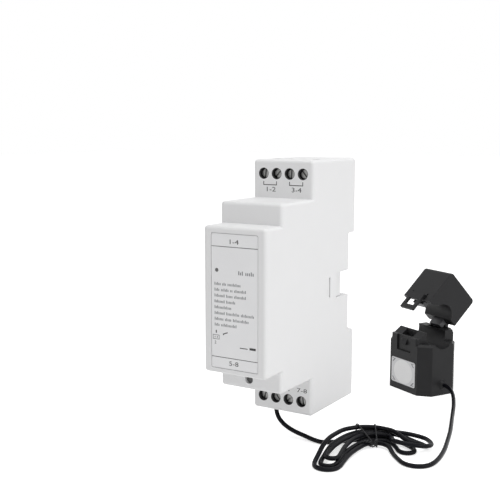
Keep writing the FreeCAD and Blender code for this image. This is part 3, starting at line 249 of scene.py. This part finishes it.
# The studio in metres: a pale surface and a white world, both brighter where they are seen
surface_reach = 2.5
surface_middle_y = 0.5
surface_tone = 0.9
surface_roughness = 0.9
surface_shine = 0.1
surface_glow_seen = 0.6
world_strength = 0.5
world_strength_seen = 1.0
light_target = Vector((0.01, 0, 0))


def clamp_point(x, y, z):
    # A place in the clamp's own directions, from the middle of its foot
    return clamp_turn @ Vector((x, y, z)) + clamp_place


tail_points = [
    Vector((37.4, -16.7, rest_z)),
    Vector((40.5, -20.2, rest_z)),
    Vector((44.4, -24.0, rest_z)),
    Vector((48.9, -24.3, rest_z)),
    Vector((52.3, -21.4, rest_z)),
    Vector((53.0, -15.3, rest_z)),
    Vector((51.6, -5.0, rest_z)),
    Vector((49.1, 5.1, rest_z)),
    Vector((46.5, 15.2, rest_z)),
    Vector((43.4, 25.2, rest_z)),
    Vector((40.4, 34.8, rest_z)),
    Vector((37.6, 44.2, rest_z + 0.9)),
    Vector((34.4, 52.4, rest_z + 2.5)),
    clamp_point(clamp_half_length + 4.2, 0, cord_exit_height),
    clamp_point(clamp_half_length + 0.7, 0, cord_exit_height),
]


def strand_place(strand, layer):
    # How far from the waist centre a strand passes, and how high
    return waist_inner + strand * strand_step, rest_z + waist_lift + layer * strand_step


def ease(share):
    # Goes from 0 to 1 with a gentle start and end
    share = min(1, max(0, share))
    return share * share * (3 - 2 * share)


def lobe_points(angle, outward, drop_start, far, near, length, end_radius, turn,
                far_height=0.0, near_height=0.0):
    # A drop-shaped loop from its far strand at the waist, round its end, to its near strand. Its
    # middle line bends evenly, and its two sides open out from that line to the end's radius
    along = Matrix.Rotation(math.radians(angle), 3, "Z") @ Vector((1, 0, 0))
    across = Vector((-along.y, along.x, 0)) * outward
    far_reach, far_z = strand_place(*far)
    near_reach, near_z = strand_place(*near)
    half_gap = (far_reach - near_reach) / 2
    bend = math.radians(turn) / length

    def place(u, v, height):
        spot = waist_centre + along * u + across * (v + (far_reach + near_reach) / 2)
        return Vector((spot.x, spot.y, height))

    def side_point(side, high, low, run):
        share = run / length
        opened = opening * share + (3 - 2 * opening) * share ** 2 + (opening - 2) * share ** 3
        offset = side * (half_gap + (end_radius - half_gap) * opened)
        u = math.sin(bend * run) / bend - offset * math.sin(bend * run)
        v = (1 - math.cos(bend * run)) / bend + offset * math.cos(bend * run)
        return place(u, v, high + (low - high) * ease((share - drop_start) / (1 - drop_start)))

    def end_point(swing):
        whole = bend * length
        u = math.sin(whole) / bend + end_radius * math.cos(swing + whole)
        v = (1 - math.cos(whole)) / bend + end_radius * math.sin(swing + whole)
        climb = (near_height - far_height) * ease(0.5 - swing / (math.pi / 2))
        return place(u, v, rest_z + far_height + climb)

    runs = [length * n / side_steps for n in range(side_steps + 1)]
    points = [side_point(1, far_z, rest_z + far_height, run) for run in runs]
    points += [end_point(swing) for swing in (math.pi / 4, 0, -math.pi / 4)]
    points += [side_point(-1, near_z, rest_z + near_height, run) for run in runs[::-1]]
    return points


def waist_crossing(start, end, way, shares=crossing_shares):
    # Between the arms a strand follows a spiral from its one radius to its other
    arms = (left_arm - 90, right_arm + 90) if way > 0 else (right_arm + 90, left_arm - 90)
    start_reach, start_z = strand_place(*start)
    end_reach, end_z = strand_place(*end)
    points = []
    for share in shares:
        angle = math.radians(arms[0] + (arms[1] - arms[0]) * share)
        out = Vector((math.cos(angle), math.sin(angle), 0))
        height = Vector((0, 0, start_z + (end_z - start_z) * share))
        points.append(waist_centre + height + out * (start_reach + (end_reach - start_reach) * share))
    return points


def hank_points():
    points = waist_crossing((lead_strand, 0), right_lobes[0]["far"], 1, first_crossing_shares)
    for n, (right, left) in enumerate(zip(right_lobes, left_lobes)):
        last = n == len(left_lobes) - 1
        points += lobe_points(right_arm, 1, right_drop, **right)
        points += waist_crossing(right["near"], left["far"] if last else left["near"], -1)
        lobe = lobe_points(left_arm, -1, left_drop, **left)
        points += lobe if last else lobe[::-1]
        if not last:
            points += waist_crossing(left["far"], right_lobes[n + 1]["far"], 1)
    # The strand that leads out turns on round the waist centre until it heads for the tail
    points += waist_crossing(left_lobes[-1]["near"], (out_strand, 0), 1, last_crossing_shares)
    reach, height = strand_place(out_strand, 0)
    heading = (tail_points[1] - tail_points[0]).normalized()
    side = Vector((-heading.y, heading.x, 0))
    points.append(waist_centre + Vector((0, 0, height)) + side * reach)
    return points


def link(name, data):
    piece = bpy.data.objects.new(name, data)
    bpy.context.scene.collection.objects.link(piece)
    return piece


def spline_curve(name, points, radius, closed=False):
    # A smooth round tube along points given in millimetres
    data = bpy.data.curves.new(name, "CURVE")
    data.dimensions = "3D"
    data.bevel_depth = radius * MM
    data.bevel_resolution = 5
    data.resolution_u = 8
    data.use_fill_caps = True
    spline = data.splines.new("NURBS")
    spline.points.add(len(points) - 1)
    for spot, point in zip(spline.points, points):
        spot.co = (*(point * MM), 1)
    spline.order_u = 3
    spline.use_endpoint_u = not closed
    spline.use_cyclic_u = closed
    return link(name, data)


def centre_line(curve):
    # Points in millimetres along a curve, with its thickness left out
    bare = curve.copy()
    bare.data = curve.data.copy()
    bare.data.bevel_depth = 0
    line = bpy.data.meshes.new_from_object(bare)
    spots = [vertex.co / MM for vertex in line.vertices]
    bpy.data.meshes.remove(line)
    bpy.data.objects.remove(bare)
    return spots


def mesh_piece(name, bm, material, smooth=False):
    mesh = bpy.data.meshes.new(name)
    bm.to_mesh(mesh)
    bm.free()
    mesh.materials.append(material)
    for face in mesh.polygons:
        face.use_smooth = smooth
    return link(name, mesh)


def new_parts(extruded, kind):
    # The vertices or the edges that an extrusion has made
    return [part for part in extruded["geom"] if isinstance(part, kind)]


# Finishes
def new_material(name):
    material = bpy.data.materials.new(name)
    material.use_nodes = True
    tree = material.node_tree
    return material, tree, tree.nodes["Principled BSDF"]


def object_noise(tree, scale, detail, stretch=(1, 1, 1)):
    # Noise in the piece's own coordinates
    place = tree.nodes.new("ShaderNodeTexCoord")
    fit = tree.nodes.new("ShaderNodeMapping")
    fit.inputs["Scale"].default_value = stretch
    noise = tree.nodes.new("ShaderNodeTexNoise")
    noise.inputs["Scale"].default_value = scale
    noise.inputs["Detail"].default_value = detail
    tree.links.new(place.outputs["Object"], fit.inputs["Vector"])
    tree.links.new(fit.outputs["Vector"], noise.inputs["Vector"])
    return noise.outputs["Fac"]


def drift_ramp(tree, drift, dark, light):
    # Spreads the slow noise between two colours
    node = tree.nodes.new("ShaderNodeValToRGB")
    node.color_ramp.elements[0].position = drift_low
    node.color_ramp.elements[1].position = drift_high
    node.color_ramp.elements[0].color = (*dark, 1)
    node.color_ramp.elements[1].color = (*light, 1)
    tree.links.new(drift, node.inputs["Fac"])
    return node.outputs["Color"]


def bump(tree, shader, height, strength, distance):
    node = tree.nodes.new("ShaderNodeBump")
    node.inputs["Strength"].default_value = strength
    node.inputs["Distance"].default_value = distance
    tree.links.new(height, node.inputs["Height"])
    tree.links.new(node.outputs["Normal"], shader.inputs["Normal"])


def shade(colour, factor):
    return tuple(min(1, part * factor) for part in colour)


def grained(name, colour, roughness, grain=2600, depth=0.00002, strength=0.25, spread=0.03, metal=0.0,
            stretch=(1, 1, 1), shine=0.5):
    # A finish with a fine grain in its surface and a slow drift in its tone and gloss
    material, tree, shader = new_material(name)
    drift = object_noise(tree, drift_scale, drift_detail)
    tone = drift_ramp(tree, drift, shade(colour, 1 - spread), shade(colour, 1 + spread))
    tree.links.new(tone, shader.inputs["Base Color"])
    gloss = drift_ramp(tree, drift, (roughness - gloss_drift,) * 3, (roughness + gloss_drift,) * 3)
    tree.links.new(gloss, shader.inputs["Roughness"])
    shader.inputs["Metallic"].default_value = metal
    shader.inputs["Specular IOR Level"].default_value = shine
    bump(tree, shader, object_noise(tree, grain, grain_detail, stretch), strength, depth)
    return material


def housing_plastic():
    return grained("housing_plastic", (0.80, 0.80, 0.805), 0.48, spread=0.008)


def base_plastic():
    return grained("base_plastic", (0.79, 0.79, 0.795), 0.5, spread=0.008)


def latch_plastic():
    return grained("latch_plastic", (0.78, 0.78, 0.785), 0.42)


def label_film():
    return grained("label_film", (0.85, 0.85, 0.86), 0.4, grain=1200, strength=0.08, spread=0.015)


def clamp_plastic():
    return grained("clamp_plastic", (0.017, 0.017, 0.018), 0.42, grain=2200, strength=0.35, spread=0.1,
                   shine=0.16)


def inner_plastic(name, colour):
    return grained(name, colour, 0.5, strength=0.15, spread=0.08)


def ferrite():
    return grained("ferrite", (0.05, 0.05, 0.055), 0.35, grain=3000, spread=0.1)


def plated_metal(name, colour, roughness):
    return grained(name, colour, roughness, grain=1500, strength=0.1, spread=0.1, metal=1.0,
                   stretch=(1, 1, 4))


def cord_sheath():
    return grained("cord_sheath", (0.005, 0.005, 0.007), 0.3, grain=1800, strength=0.2, spread=0.15,
                   shine=0.1)


def tie_coat():
    return grained("tie_coat", (0.012, 0.012, 0.014), 0.3, grain=1500, strength=0.1, spread=0.1, shine=0.3)


def ink(name, tone):
    return grained(name, (tone, tone, tone * 1.05), 0.5, strength=0.05, spread=0.1)


def sticker_film():
    return grained("sticker_film", (0.66, 0.66, 0.67), 0.4, grain=900, strength=0.06, spread=0.02)


def oval_print():
    return grained("sticker_oval_print", (0.80, 0.80, 0.80), 0.4, spread=0.02)


def dress(material, *names):
    for name in names:
        slots = nodes[name].data.materials
        slots.clear()
        slots.append(material)


def dress_nodes():
    steel = plated_metal("plated_steel", (0.26, 0.26, 0.255), 0.38)
    dress(housing_plastic(), "housing_shell")
    dress(base_plastic(), "rear_base")
    dress(latch_plastic(), "rail_latch")
    dress(label_film(), "label_panel")
    dress(clamp_plastic(), "clamp_base_case", "clamp_jaw_case", "clamp_cord_grommet")
    dress(sticker_film(), "clamp_sticker")
    dress(inner_plastic("button_plastic", (0.10, 0.10, 0.10)), "reset_button")
    dress(inner_plastic("switch_plastic", (0.03, 0.03, 0.03)), "reset_switch", "board_header")
    dress(inner_plastic("terminal_plastic", (0.025, 0.025, 0.027)), "terminal_block_top",
          "terminal_block_bottom")
    dress(inner_plastic("board_mask", (0.015, 0.11, 0.05)), "power_board", "logic_board")
    dress(inner_plastic("chip_epoxy", (0.02, 0.02, 0.022)), "meter_chip")
    dress(inner_plastic("capacitor_sleeve", (0.02, 0.03, 0.07)), "filter_capacitor")
    dress(inner_plastic("varistor_coat", (0.04, 0.1, 0.35)), "varistor")
    dress(inner_plastic("winding_tape", (0.7, 0.55, 0.08)), "transformer_winding")
    dress(inner_plastic("light_pipe", (0.12, 0.12, 0.12)), "status_light_pipe", "status_led")
    dress(inner_plastic("bobbin_plastic", (0.04, 0.04, 0.04)), "clamp_bobbin")
    dress(ferrite(), "transformer_core", "clamp_base_core", "clamp_jaw_core")
    dress(plated_metal("tinned_brass", (0.7, 0.6, 0.4), 0.3), "terminal_contacts_top",
          "terminal_contacts_bottom")
    dress(plated_metal("copper_wire", (0.75, 0.35, 0.18), 0.3), "clamp_winding")
    dress(steel, "radio_module", "clamp_core_spring", "clamp_hinge_pin")
    dress(cord_sheath(), "cord_cores")
    for end in ("top", "bottom"):
        for n in range(1, pole_count + 1):
            dress(steel, f"terminal_screw_{end}_{n}", f"wire_cage_{end}_{n}")


# Printed marks
def add_bar(bm, face_y, x, z, width, height, slope=0):
    # One flat bar of ink, given by its middle
    place = Matrix.Translation(Vector((x, face_y + ink_sink - ink_thickness / 2, z)) * MM)
    turn = Matrix.Rotation(math.radians(slope), 4, "Y")
    size = Matrix.Diagonal((width * MM, ink_thickness * MM, height * MM, 1))
    bmesh.ops.create_cube(bm, size=1, matrix=place @ turn @ size)


def add_frame(bm, face_y, x, z, width, height, line):
    # A rectangle drawn with four bars
    for side in (-1, 1):
        add_bar(bm, face_y, x, z + side * (height - line) / 2, width, line)
        add_bar(bm, face_y, x + side * (width - line) / 2, z, line, height)


def add_blocks(bm, face_y, left, right, top, height, pitch, gaps):
    # A row of small blocks in groups, where such a label has a line of small print
    count = int((right - left) / pitch)
    for n in range(count):
        if n in gaps:
            continue
        is_tall = (n * 5) % 7 in (0, 3)
        tall = height * (1.0 if is_tall else low_block)
        add_bar(bm, face_y, left + (n + 0.5) * pitch, top - (height - tall) / 2, pitch * block_width, tall)


def add_number(name, face_y, material, text, x, z, height, width):
    # Plain numbers as a thin raised print, centred on a point of the face
    data = bpy.data.curves.new(name, "FONT")
    data.body = text
    data.align_x = "CENTER"
    data.align_y = "CENTER"
    data.size = height / digit_share * MM
    data.extrude = ink_thickness / 2 * MM
    data.resolution_u = 3
    flat = bpy.data.objects.new(name, data)
    mesh = bpy.data.meshes.new_from_object(flat)
    bpy.data.objects.remove(flat)
    reach = [vertex.co.x for vertex in mesh.vertices]
    stretch = width * MM / (max(reach) - min(reach))
    upright = Matrix.Rotation(math.pi / 2, 4, "X")
    size = Matrix.Diagonal((stretch, 1, 1, 1))
    place = Matrix.Translation(Vector((x, face_y + ink_sink - ink_thickness / 2, z)) * MM)
    mesh.transform(place @ upright @ size)
    mesh.materials.clear()
    mesh.materials.append(material)
    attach(link(name, mesh), "meter")


def label_rules(face_y, left, right, black):
    # Two rules across the label, two bars near its foot and the switch of its wiring sketch
    bm = bmesh.new()
    for z in rule_heights:
        add_bar(bm, face_y, (left + right) / 2, z, right - left, rule_width)
    for bar in label_bars:
        add_bar(bm, face_y, *bar)
    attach(mesh_piece("label_rules", bm, black), "meter")


def label_small_print(face_y, grey):
    # A title line, eight lines of blocks, and the box of the wiring sketch with its pins
    bm = bmesh.new()
    add_blocks(bm, face_y, *title_span, title_top, title_height, title_pitch, title_gaps)
    for n, (right, gaps) in enumerate(print_rows):
        top = print_top - n * print_step
        add_blocks(bm, face_y, print_left, right, top, print_height, print_pitch, gaps)
    add_frame(bm, face_y, *sketch_box, sketch_line)
    for x in sketch_pins:
        add_bar(bm, face_y, x, sketch_box[1], *sketch_pin_size)
    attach(mesh_piece("label_small_print", bm, grey), "meter")


def label_print(black, grey):
    low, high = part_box("label_panel")
    face_y = low.y / MM
    label_rules(face_y, low.x / MM, high.x / MM, black)
    label_small_print(face_y, grey)
    for n, number in enumerate(label_numbers):
        add_number(f"label_number_{n + 1}", face_y, black, *number)


def terminal_face():
    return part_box("housing_shell")[0].y / MM + terminal_setback


def terminal_marks(black):
    # A bracket under each pair of upper holes, and plain numbers for every pair
    face_y = terminal_face()
    bm = bmesh.new()
    for first, second in (pole_xs[:2], pole_xs[2:]):
        width = second - first + bracket_line
        add_bar(bm, face_y, (first + second) / 2, bracket_low, width, bracket_line)
        for x in (first, second):
            add_bar(bm, face_y, x, bracket_leg, bracket_line, bracket_leg_height)
    add_bar(bm, face_y, *terminal_dot)
    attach(mesh_piece("terminal_brackets", bm, black), "meter")
    for n, number in enumerate(terminal_numbers):
        add_number(f"terminal_number_{n + 1}", face_y, black, *number)


def add_shade_ring(bm, x, z):
    # A flat ring of painted shade in the hole's mouth, then a tube that runs back from its inner edge
    place = Matrix.Translation(Vector((x, (terminal_face() + shade_ring_inset) * MM, z)))
    upright = Matrix.Rotation(math.pi / 2, 4, "X")
    circle = bmesh.ops.create_circle(bm, segments=40, radius=shade_ring_outer * MM, matrix=place @ upright)
    edges = list({edge for vertex in circle["verts"] for edge in vertex.link_edges})
    ring = bmesh.ops.extrude_edge_only(bm, edges=edges)
    share = shade_ring_inner / shade_ring_outer
    narrow = place @ Matrix.Diagonal((share, 1, share, 1)) @ place.inverted()
    bmesh.ops.transform(bm, matrix=narrow, verts=new_parts(ring, bmesh.types.BMVert))
    tube = bmesh.ops.extrude_edge_only(bm, edges=new_parts(ring, bmesh.types.BMEdge))
    bmesh.ops.translate(bm, vec=(0, shade_ring_depth * MM, 0), verts=new_parts(tube, bmesh.types.BMVert))


def painted_shade_sleeves(end, black):
    # Thin dark collars of painted shade that line the holes in front of the screws, where the holes'
    # shadow falls
    bm = bmesh.new()
    for n in range(1, pole_count + 1):
        low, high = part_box(f"terminal_screw_{end}_{n}")
        middle = (low + high) / 2
        add_shade_ring(bm, middle.x, middle.z)
    bmesh.ops.recalc_face_normals(bm, faces=bm.faces)
    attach(mesh_piece(f"painted_shade_sleeves_{end}", bm, black, smooth=True), "meter")


def sticker_oval(turned, face_y, middle_z, pale):
    bm = bmesh.new()
    upright = Matrix.Rotation(math.pi / 2, 4, "X")
    place = Matrix.Translation(Vector((0, face_y, middle_z)) * MM)
    shape = Matrix.Diagonal((*oval_reach, 1, 1))
    disc = bmesh.ops.create_circle(bm, cap_ends=True, segments=64, radius=MM,
                                   matrix=turned @ place @ upright @ shape)
    face = disc["verts"][0].link_faces[0]
    front = bmesh.ops.extrude_face_region(bm, geom=[face])
    forward = turned.to_3x3() @ Vector((0, -ink_thickness * MM, 0))
    bmesh.ops.translate(bm, vec=forward, verts=new_parts(front, bmesh.types.BMVert))
    bmesh.ops.recalc_face_normals(bm, faces=bm.faces)
    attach(mesh_piece("sticker_oval", bm, pale), "meter")


def sticker_corners(turned, face_y, middle_z, grey):
    # In each corner a slanting bar and a thin level line
    bm = bmesh.new()
    for side in (-1, 1):
        for end in (-1, 1):
            x = side * corner_reach[0]
            z = middle_z + end * corner_reach[1]
            add_bar(bm, face_y, x, z, *corner_bar, slope=side * end * 45)
            line_x = x - side * corner_line_shift[0]
            line_z = z + end * corner_line_shift[1]
            add_bar(bm, face_y, line_x, line_z, *corner_line)
    bmesh.ops.transform(bm, matrix=turned, verts=bm.verts)
    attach(mesh_piece("sticker_corners", bm, grey), "meter")


def sticker_print(pale, grey):
    # A generic design on the clamp's sticker: a pale oval between four corner marks
    turned = Matrix.Translation(clamp_place * MM) @ clamp_turn.to_4x4()
    face_y = -clamp_half_width - sticker_thickness
    middle_z = sticker_low + sticker_height / 2
    sticker_oval(turned, face_y, middle_z, pale)
    sticker_corners(turned, face_y, middle_z, grey)


# The cord, its ties and the latch's spring
def make_cord(sheath):
    cord = spline_curve("measuring_cord", lead_points + hank_points() + tail_points, cord_radius)
    cord.data.materials.append(sheath)
    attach(cord, "meter")
    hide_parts("cord_lead", "cord_hank", "cord_tail")
    return cord


def strands_in_plane(route, out):
    # Where the cord crosses a tie's upright plane: how far out from the waist centre, and how high
    across = Vector((-out.y, out.x, 0))
    strands = []
    for start, end in zip(route, route[1:]):
        start_side = (start - waist_centre).dot(across)
        end_side = (end - waist_centre).dot(across)
        if start_side * end_side >= 0:
            continue
        spot = start + (end - start) * (start_side / (start_side - end_side))
        reach = (spot - waist_centre).dot(out)
        if tie_reach[0] < reach < tie_reach[1]:
            strands.append((reach, spot.z))
    return strands


def tie_loop(name, route, angle):
    # A wire pulled tight round every strand that crosses the tie's upright plane
    out = Matrix.Rotation(math.radians(angle), 3, "Z") @ Vector((1, 0, 0))
    strands = strands_in_plane(route, out)
    hug = cord_radius + tie_wire / 2 + tie_slack
    points = []
    for n in range(tie_steps):
        turn = 2 * math.pi * n / tie_steps
        way = (math.cos(turn), math.sin(turn))
        reach, height = max(strands, key=lambda strand: strand[0] * way[0] + strand[1] * way[1])
        middle = Vector((waist_centre.x, waist_centre.y, height + way[1] * hug))
        points.append(middle + out * (reach + way[0] * hug))
    return spline_curve(name, points, tie_wire / 2, closed=True)


def tie_end(name, start, middle, end):
    # Two wires twisted round each other along a short bend, splayed at their tips
    strands = []
    for n, first_swing in enumerate((0, math.pi)):
        points = []
        for step in range(twist_steps + 1):
            share = step / twist_steps
            spot = start * (1 - share) ** 2 + middle * 2 * share * (1 - share) + end * share ** 2
            run = ((middle - start) * (1 - share) + (end - middle) * share).normalized()
            side = run.cross(Vector((0, 0, 1))).normalized()
            over = side.cross(run)
            swing = first_swing + share * 2 * math.pi * twist_turns
            splay = splay_spread * ease((share - splay_start) / (1 - splay_start))
            spread = tie_wire * (twist_spread + splay)
            points.append(spot + side * math.cos(swing) * spread + over * math.sin(swing) * spread)
        strands.append(spline_curve(f"{name}_{n + 1}", points, tie_wire / 2))
    return strands


def make_ties(cord, coat):
    route = centre_line(cord)
    pieces = []
    for side, angle in tie_angles.items():
        loop = tie_loop(f"tie_{side}", route, angle)
        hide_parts(f"hank_tie_{side}")
        group = [loop] + tie_end(f"tie_{side}_end", *tie_ends[side])
        for piece in group:
            piece.data.materials.append(coat)
            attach(piece, "meter")
        pieces += group
    return pieces


def make_latch_coil(steel):
    # The latch's spring as a coil that fills the space of the model's spring; on the meter it shortens
    # towards its lug as the latch comes down
    low, high = (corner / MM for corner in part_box("latch_spring"))
    middle = (low + high) / 2
    radius = (high.x - low.x - coil_wire) / 2
    length = high.z - low.z
    count = coil_turns * coil_steps
    points = []
    for n in range(count + 1):
        swing = 2 * math.pi * n / coil_steps
        rise = coil_wire / 2 + (length - coil_wire) * n / count
        x = middle.x + radius * math.cos(swing)
        y = middle.y + radius * math.sin(swing)
        points.append(Vector((x, y, low.z + rise)))
    line = spline_curve("coil_line", points, coil_wire / 2)
    mesh = bpy.data.meshes.new_from_object(line)
    bpy.data.objects.remove(line)
    mesh.materials.append(steel)
    coil = link("latch_coil", mesh)
    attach(coil, "meter")
    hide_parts("latch_spring")
    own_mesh(coil)


# Studio
def seen_ray(tree, plain, seen):
    # A number that is one thing in general and another where the camera or a gloss looks straight at it
    path = tree.nodes.new("ShaderNodeLightPath")
    looked_at = tree.nodes.new("ShaderNodeMath")
    looked_at.operation = "MAXIMUM"
    tree.links.new(path.outputs["Is Camera Ray"], looked_at.inputs[0])
    tree.links.new(path.outputs["Is Glossy Ray"], looked_at.inputs[1])
    mix = tree.nodes.new("ShaderNodeMath")
    mix.operation = "MULTIPLY_ADD"
    mix.inputs[1].default_value = seen - plain
    mix.inputs[2].default_value = plain
    tree.links.new(looked_at.outputs[0], mix.inputs[0])
    return mix.outputs[0]


def make_surface():
    bm = bmesh.new()
    bmesh.ops.create_grid(bm, x_segments=1, y_segments=1, size=surface_reach)
    bmesh.ops.translate(bm, verts=bm.verts, vec=(0, surface_middle_y, floor_z * MM))
    material, tree, shader = new_material("white_surface")
    shader.inputs["Base Color"].default_value = (surface_tone, surface_tone, surface_tone, 1)
    shader.inputs["Roughness"].default_value = surface_roughness
    shader.inputs["Specular IOR Level"].default_value = surface_shine
    shader.inputs["Emission Color"].default_value = (1, 1, 1, 1)
    tree.links.new(seen_ray(tree, 0.0, surface_glow_seen), shader.inputs["Emission Strength"])
    mesh_piece("surface", bm, material)


def make_world():
    world = bpy.data.worlds.new("studio")
    bpy.context.scene.world = world
    world.use_nodes = True
    tree = world.node_tree
    back = tree.nodes["Background"]
    back.inputs["Color"].default_value = (1, 1, 1, 1)
    tree.links.new(seen_ray(tree, world_strength, world_strength_seen), back.inputs["Strength"])


def area_light(name, place, size, power):
    # A square lamp that looks at the meter
    data = bpy.data.lights.new(name, "AREA")
    data.size = size
    data.energy = power
    lamp = link(name, data)
    lamp.location = place
    lamp.rotation_mode = "QUATERNION"
    lamp.rotation_quaternion = (light_target - Vector(place)).to_track_quat("-Z", "Y")


def make_lights():
    area_light("side_light", place=(0.9, -0.1, 0.45), size=0.6, power=3.0)
    area_light("top_light", place=(0.1, -0.1, 1.0), size=0.8, power=4.3)
    area_light("front_light", place=(-0.5, -0.9, 0.3), size=0.8, power=0.2)


def make_camera():
    data = bpy.data.cameras.new("camera")
    data.sensor_width = camera_sensor
    data.lens = camera_lens
    data.clip_start = camera_near
    camera = link("camera", data)
    turn = math.radians(camera_turn)
    dip = math.radians(camera_dip)
    ahead = Vector((-math.sin(turn) * math.cos(dip), math.cos(turn) * math.cos(dip), -math.sin(dip)))
    camera.location = camera_place
    camera.rotation_mode = "QUATERNION"
    camera.rotation_quaternion = ahead.to_track_quat("-Z", "Y")
    bpy.context.scene.camera = camera


make_camera()
cord = make_cord(cord_sheath())
ties = make_ties(cord, tie_coat())
dress_nodes()
label_print(ink("label_ink", 0.03), ink("small_print_ink", 0.2))
terminal_marks(ink("terminal_ink", 0.02))
# Painted shade: the screw holes are lined with near-black rings that stand in for their shadow
for block_end in ("top", "bottom"):
    painted_shade_sleeves(block_end, inner_plastic("painted_hole_shade_" + block_end, (0.02, 0.02, 0.021)))
make_latch_coil(plated_metal("spring_steel", (0.5, 0.5, 0.49), 0.3))
sticker_print(oval_print(), ink("sticker_marks_print", 0.22))
make_world()
make_lights()
make_surface()

bpy.context.scene.view_settings.view_transform = "Standard"
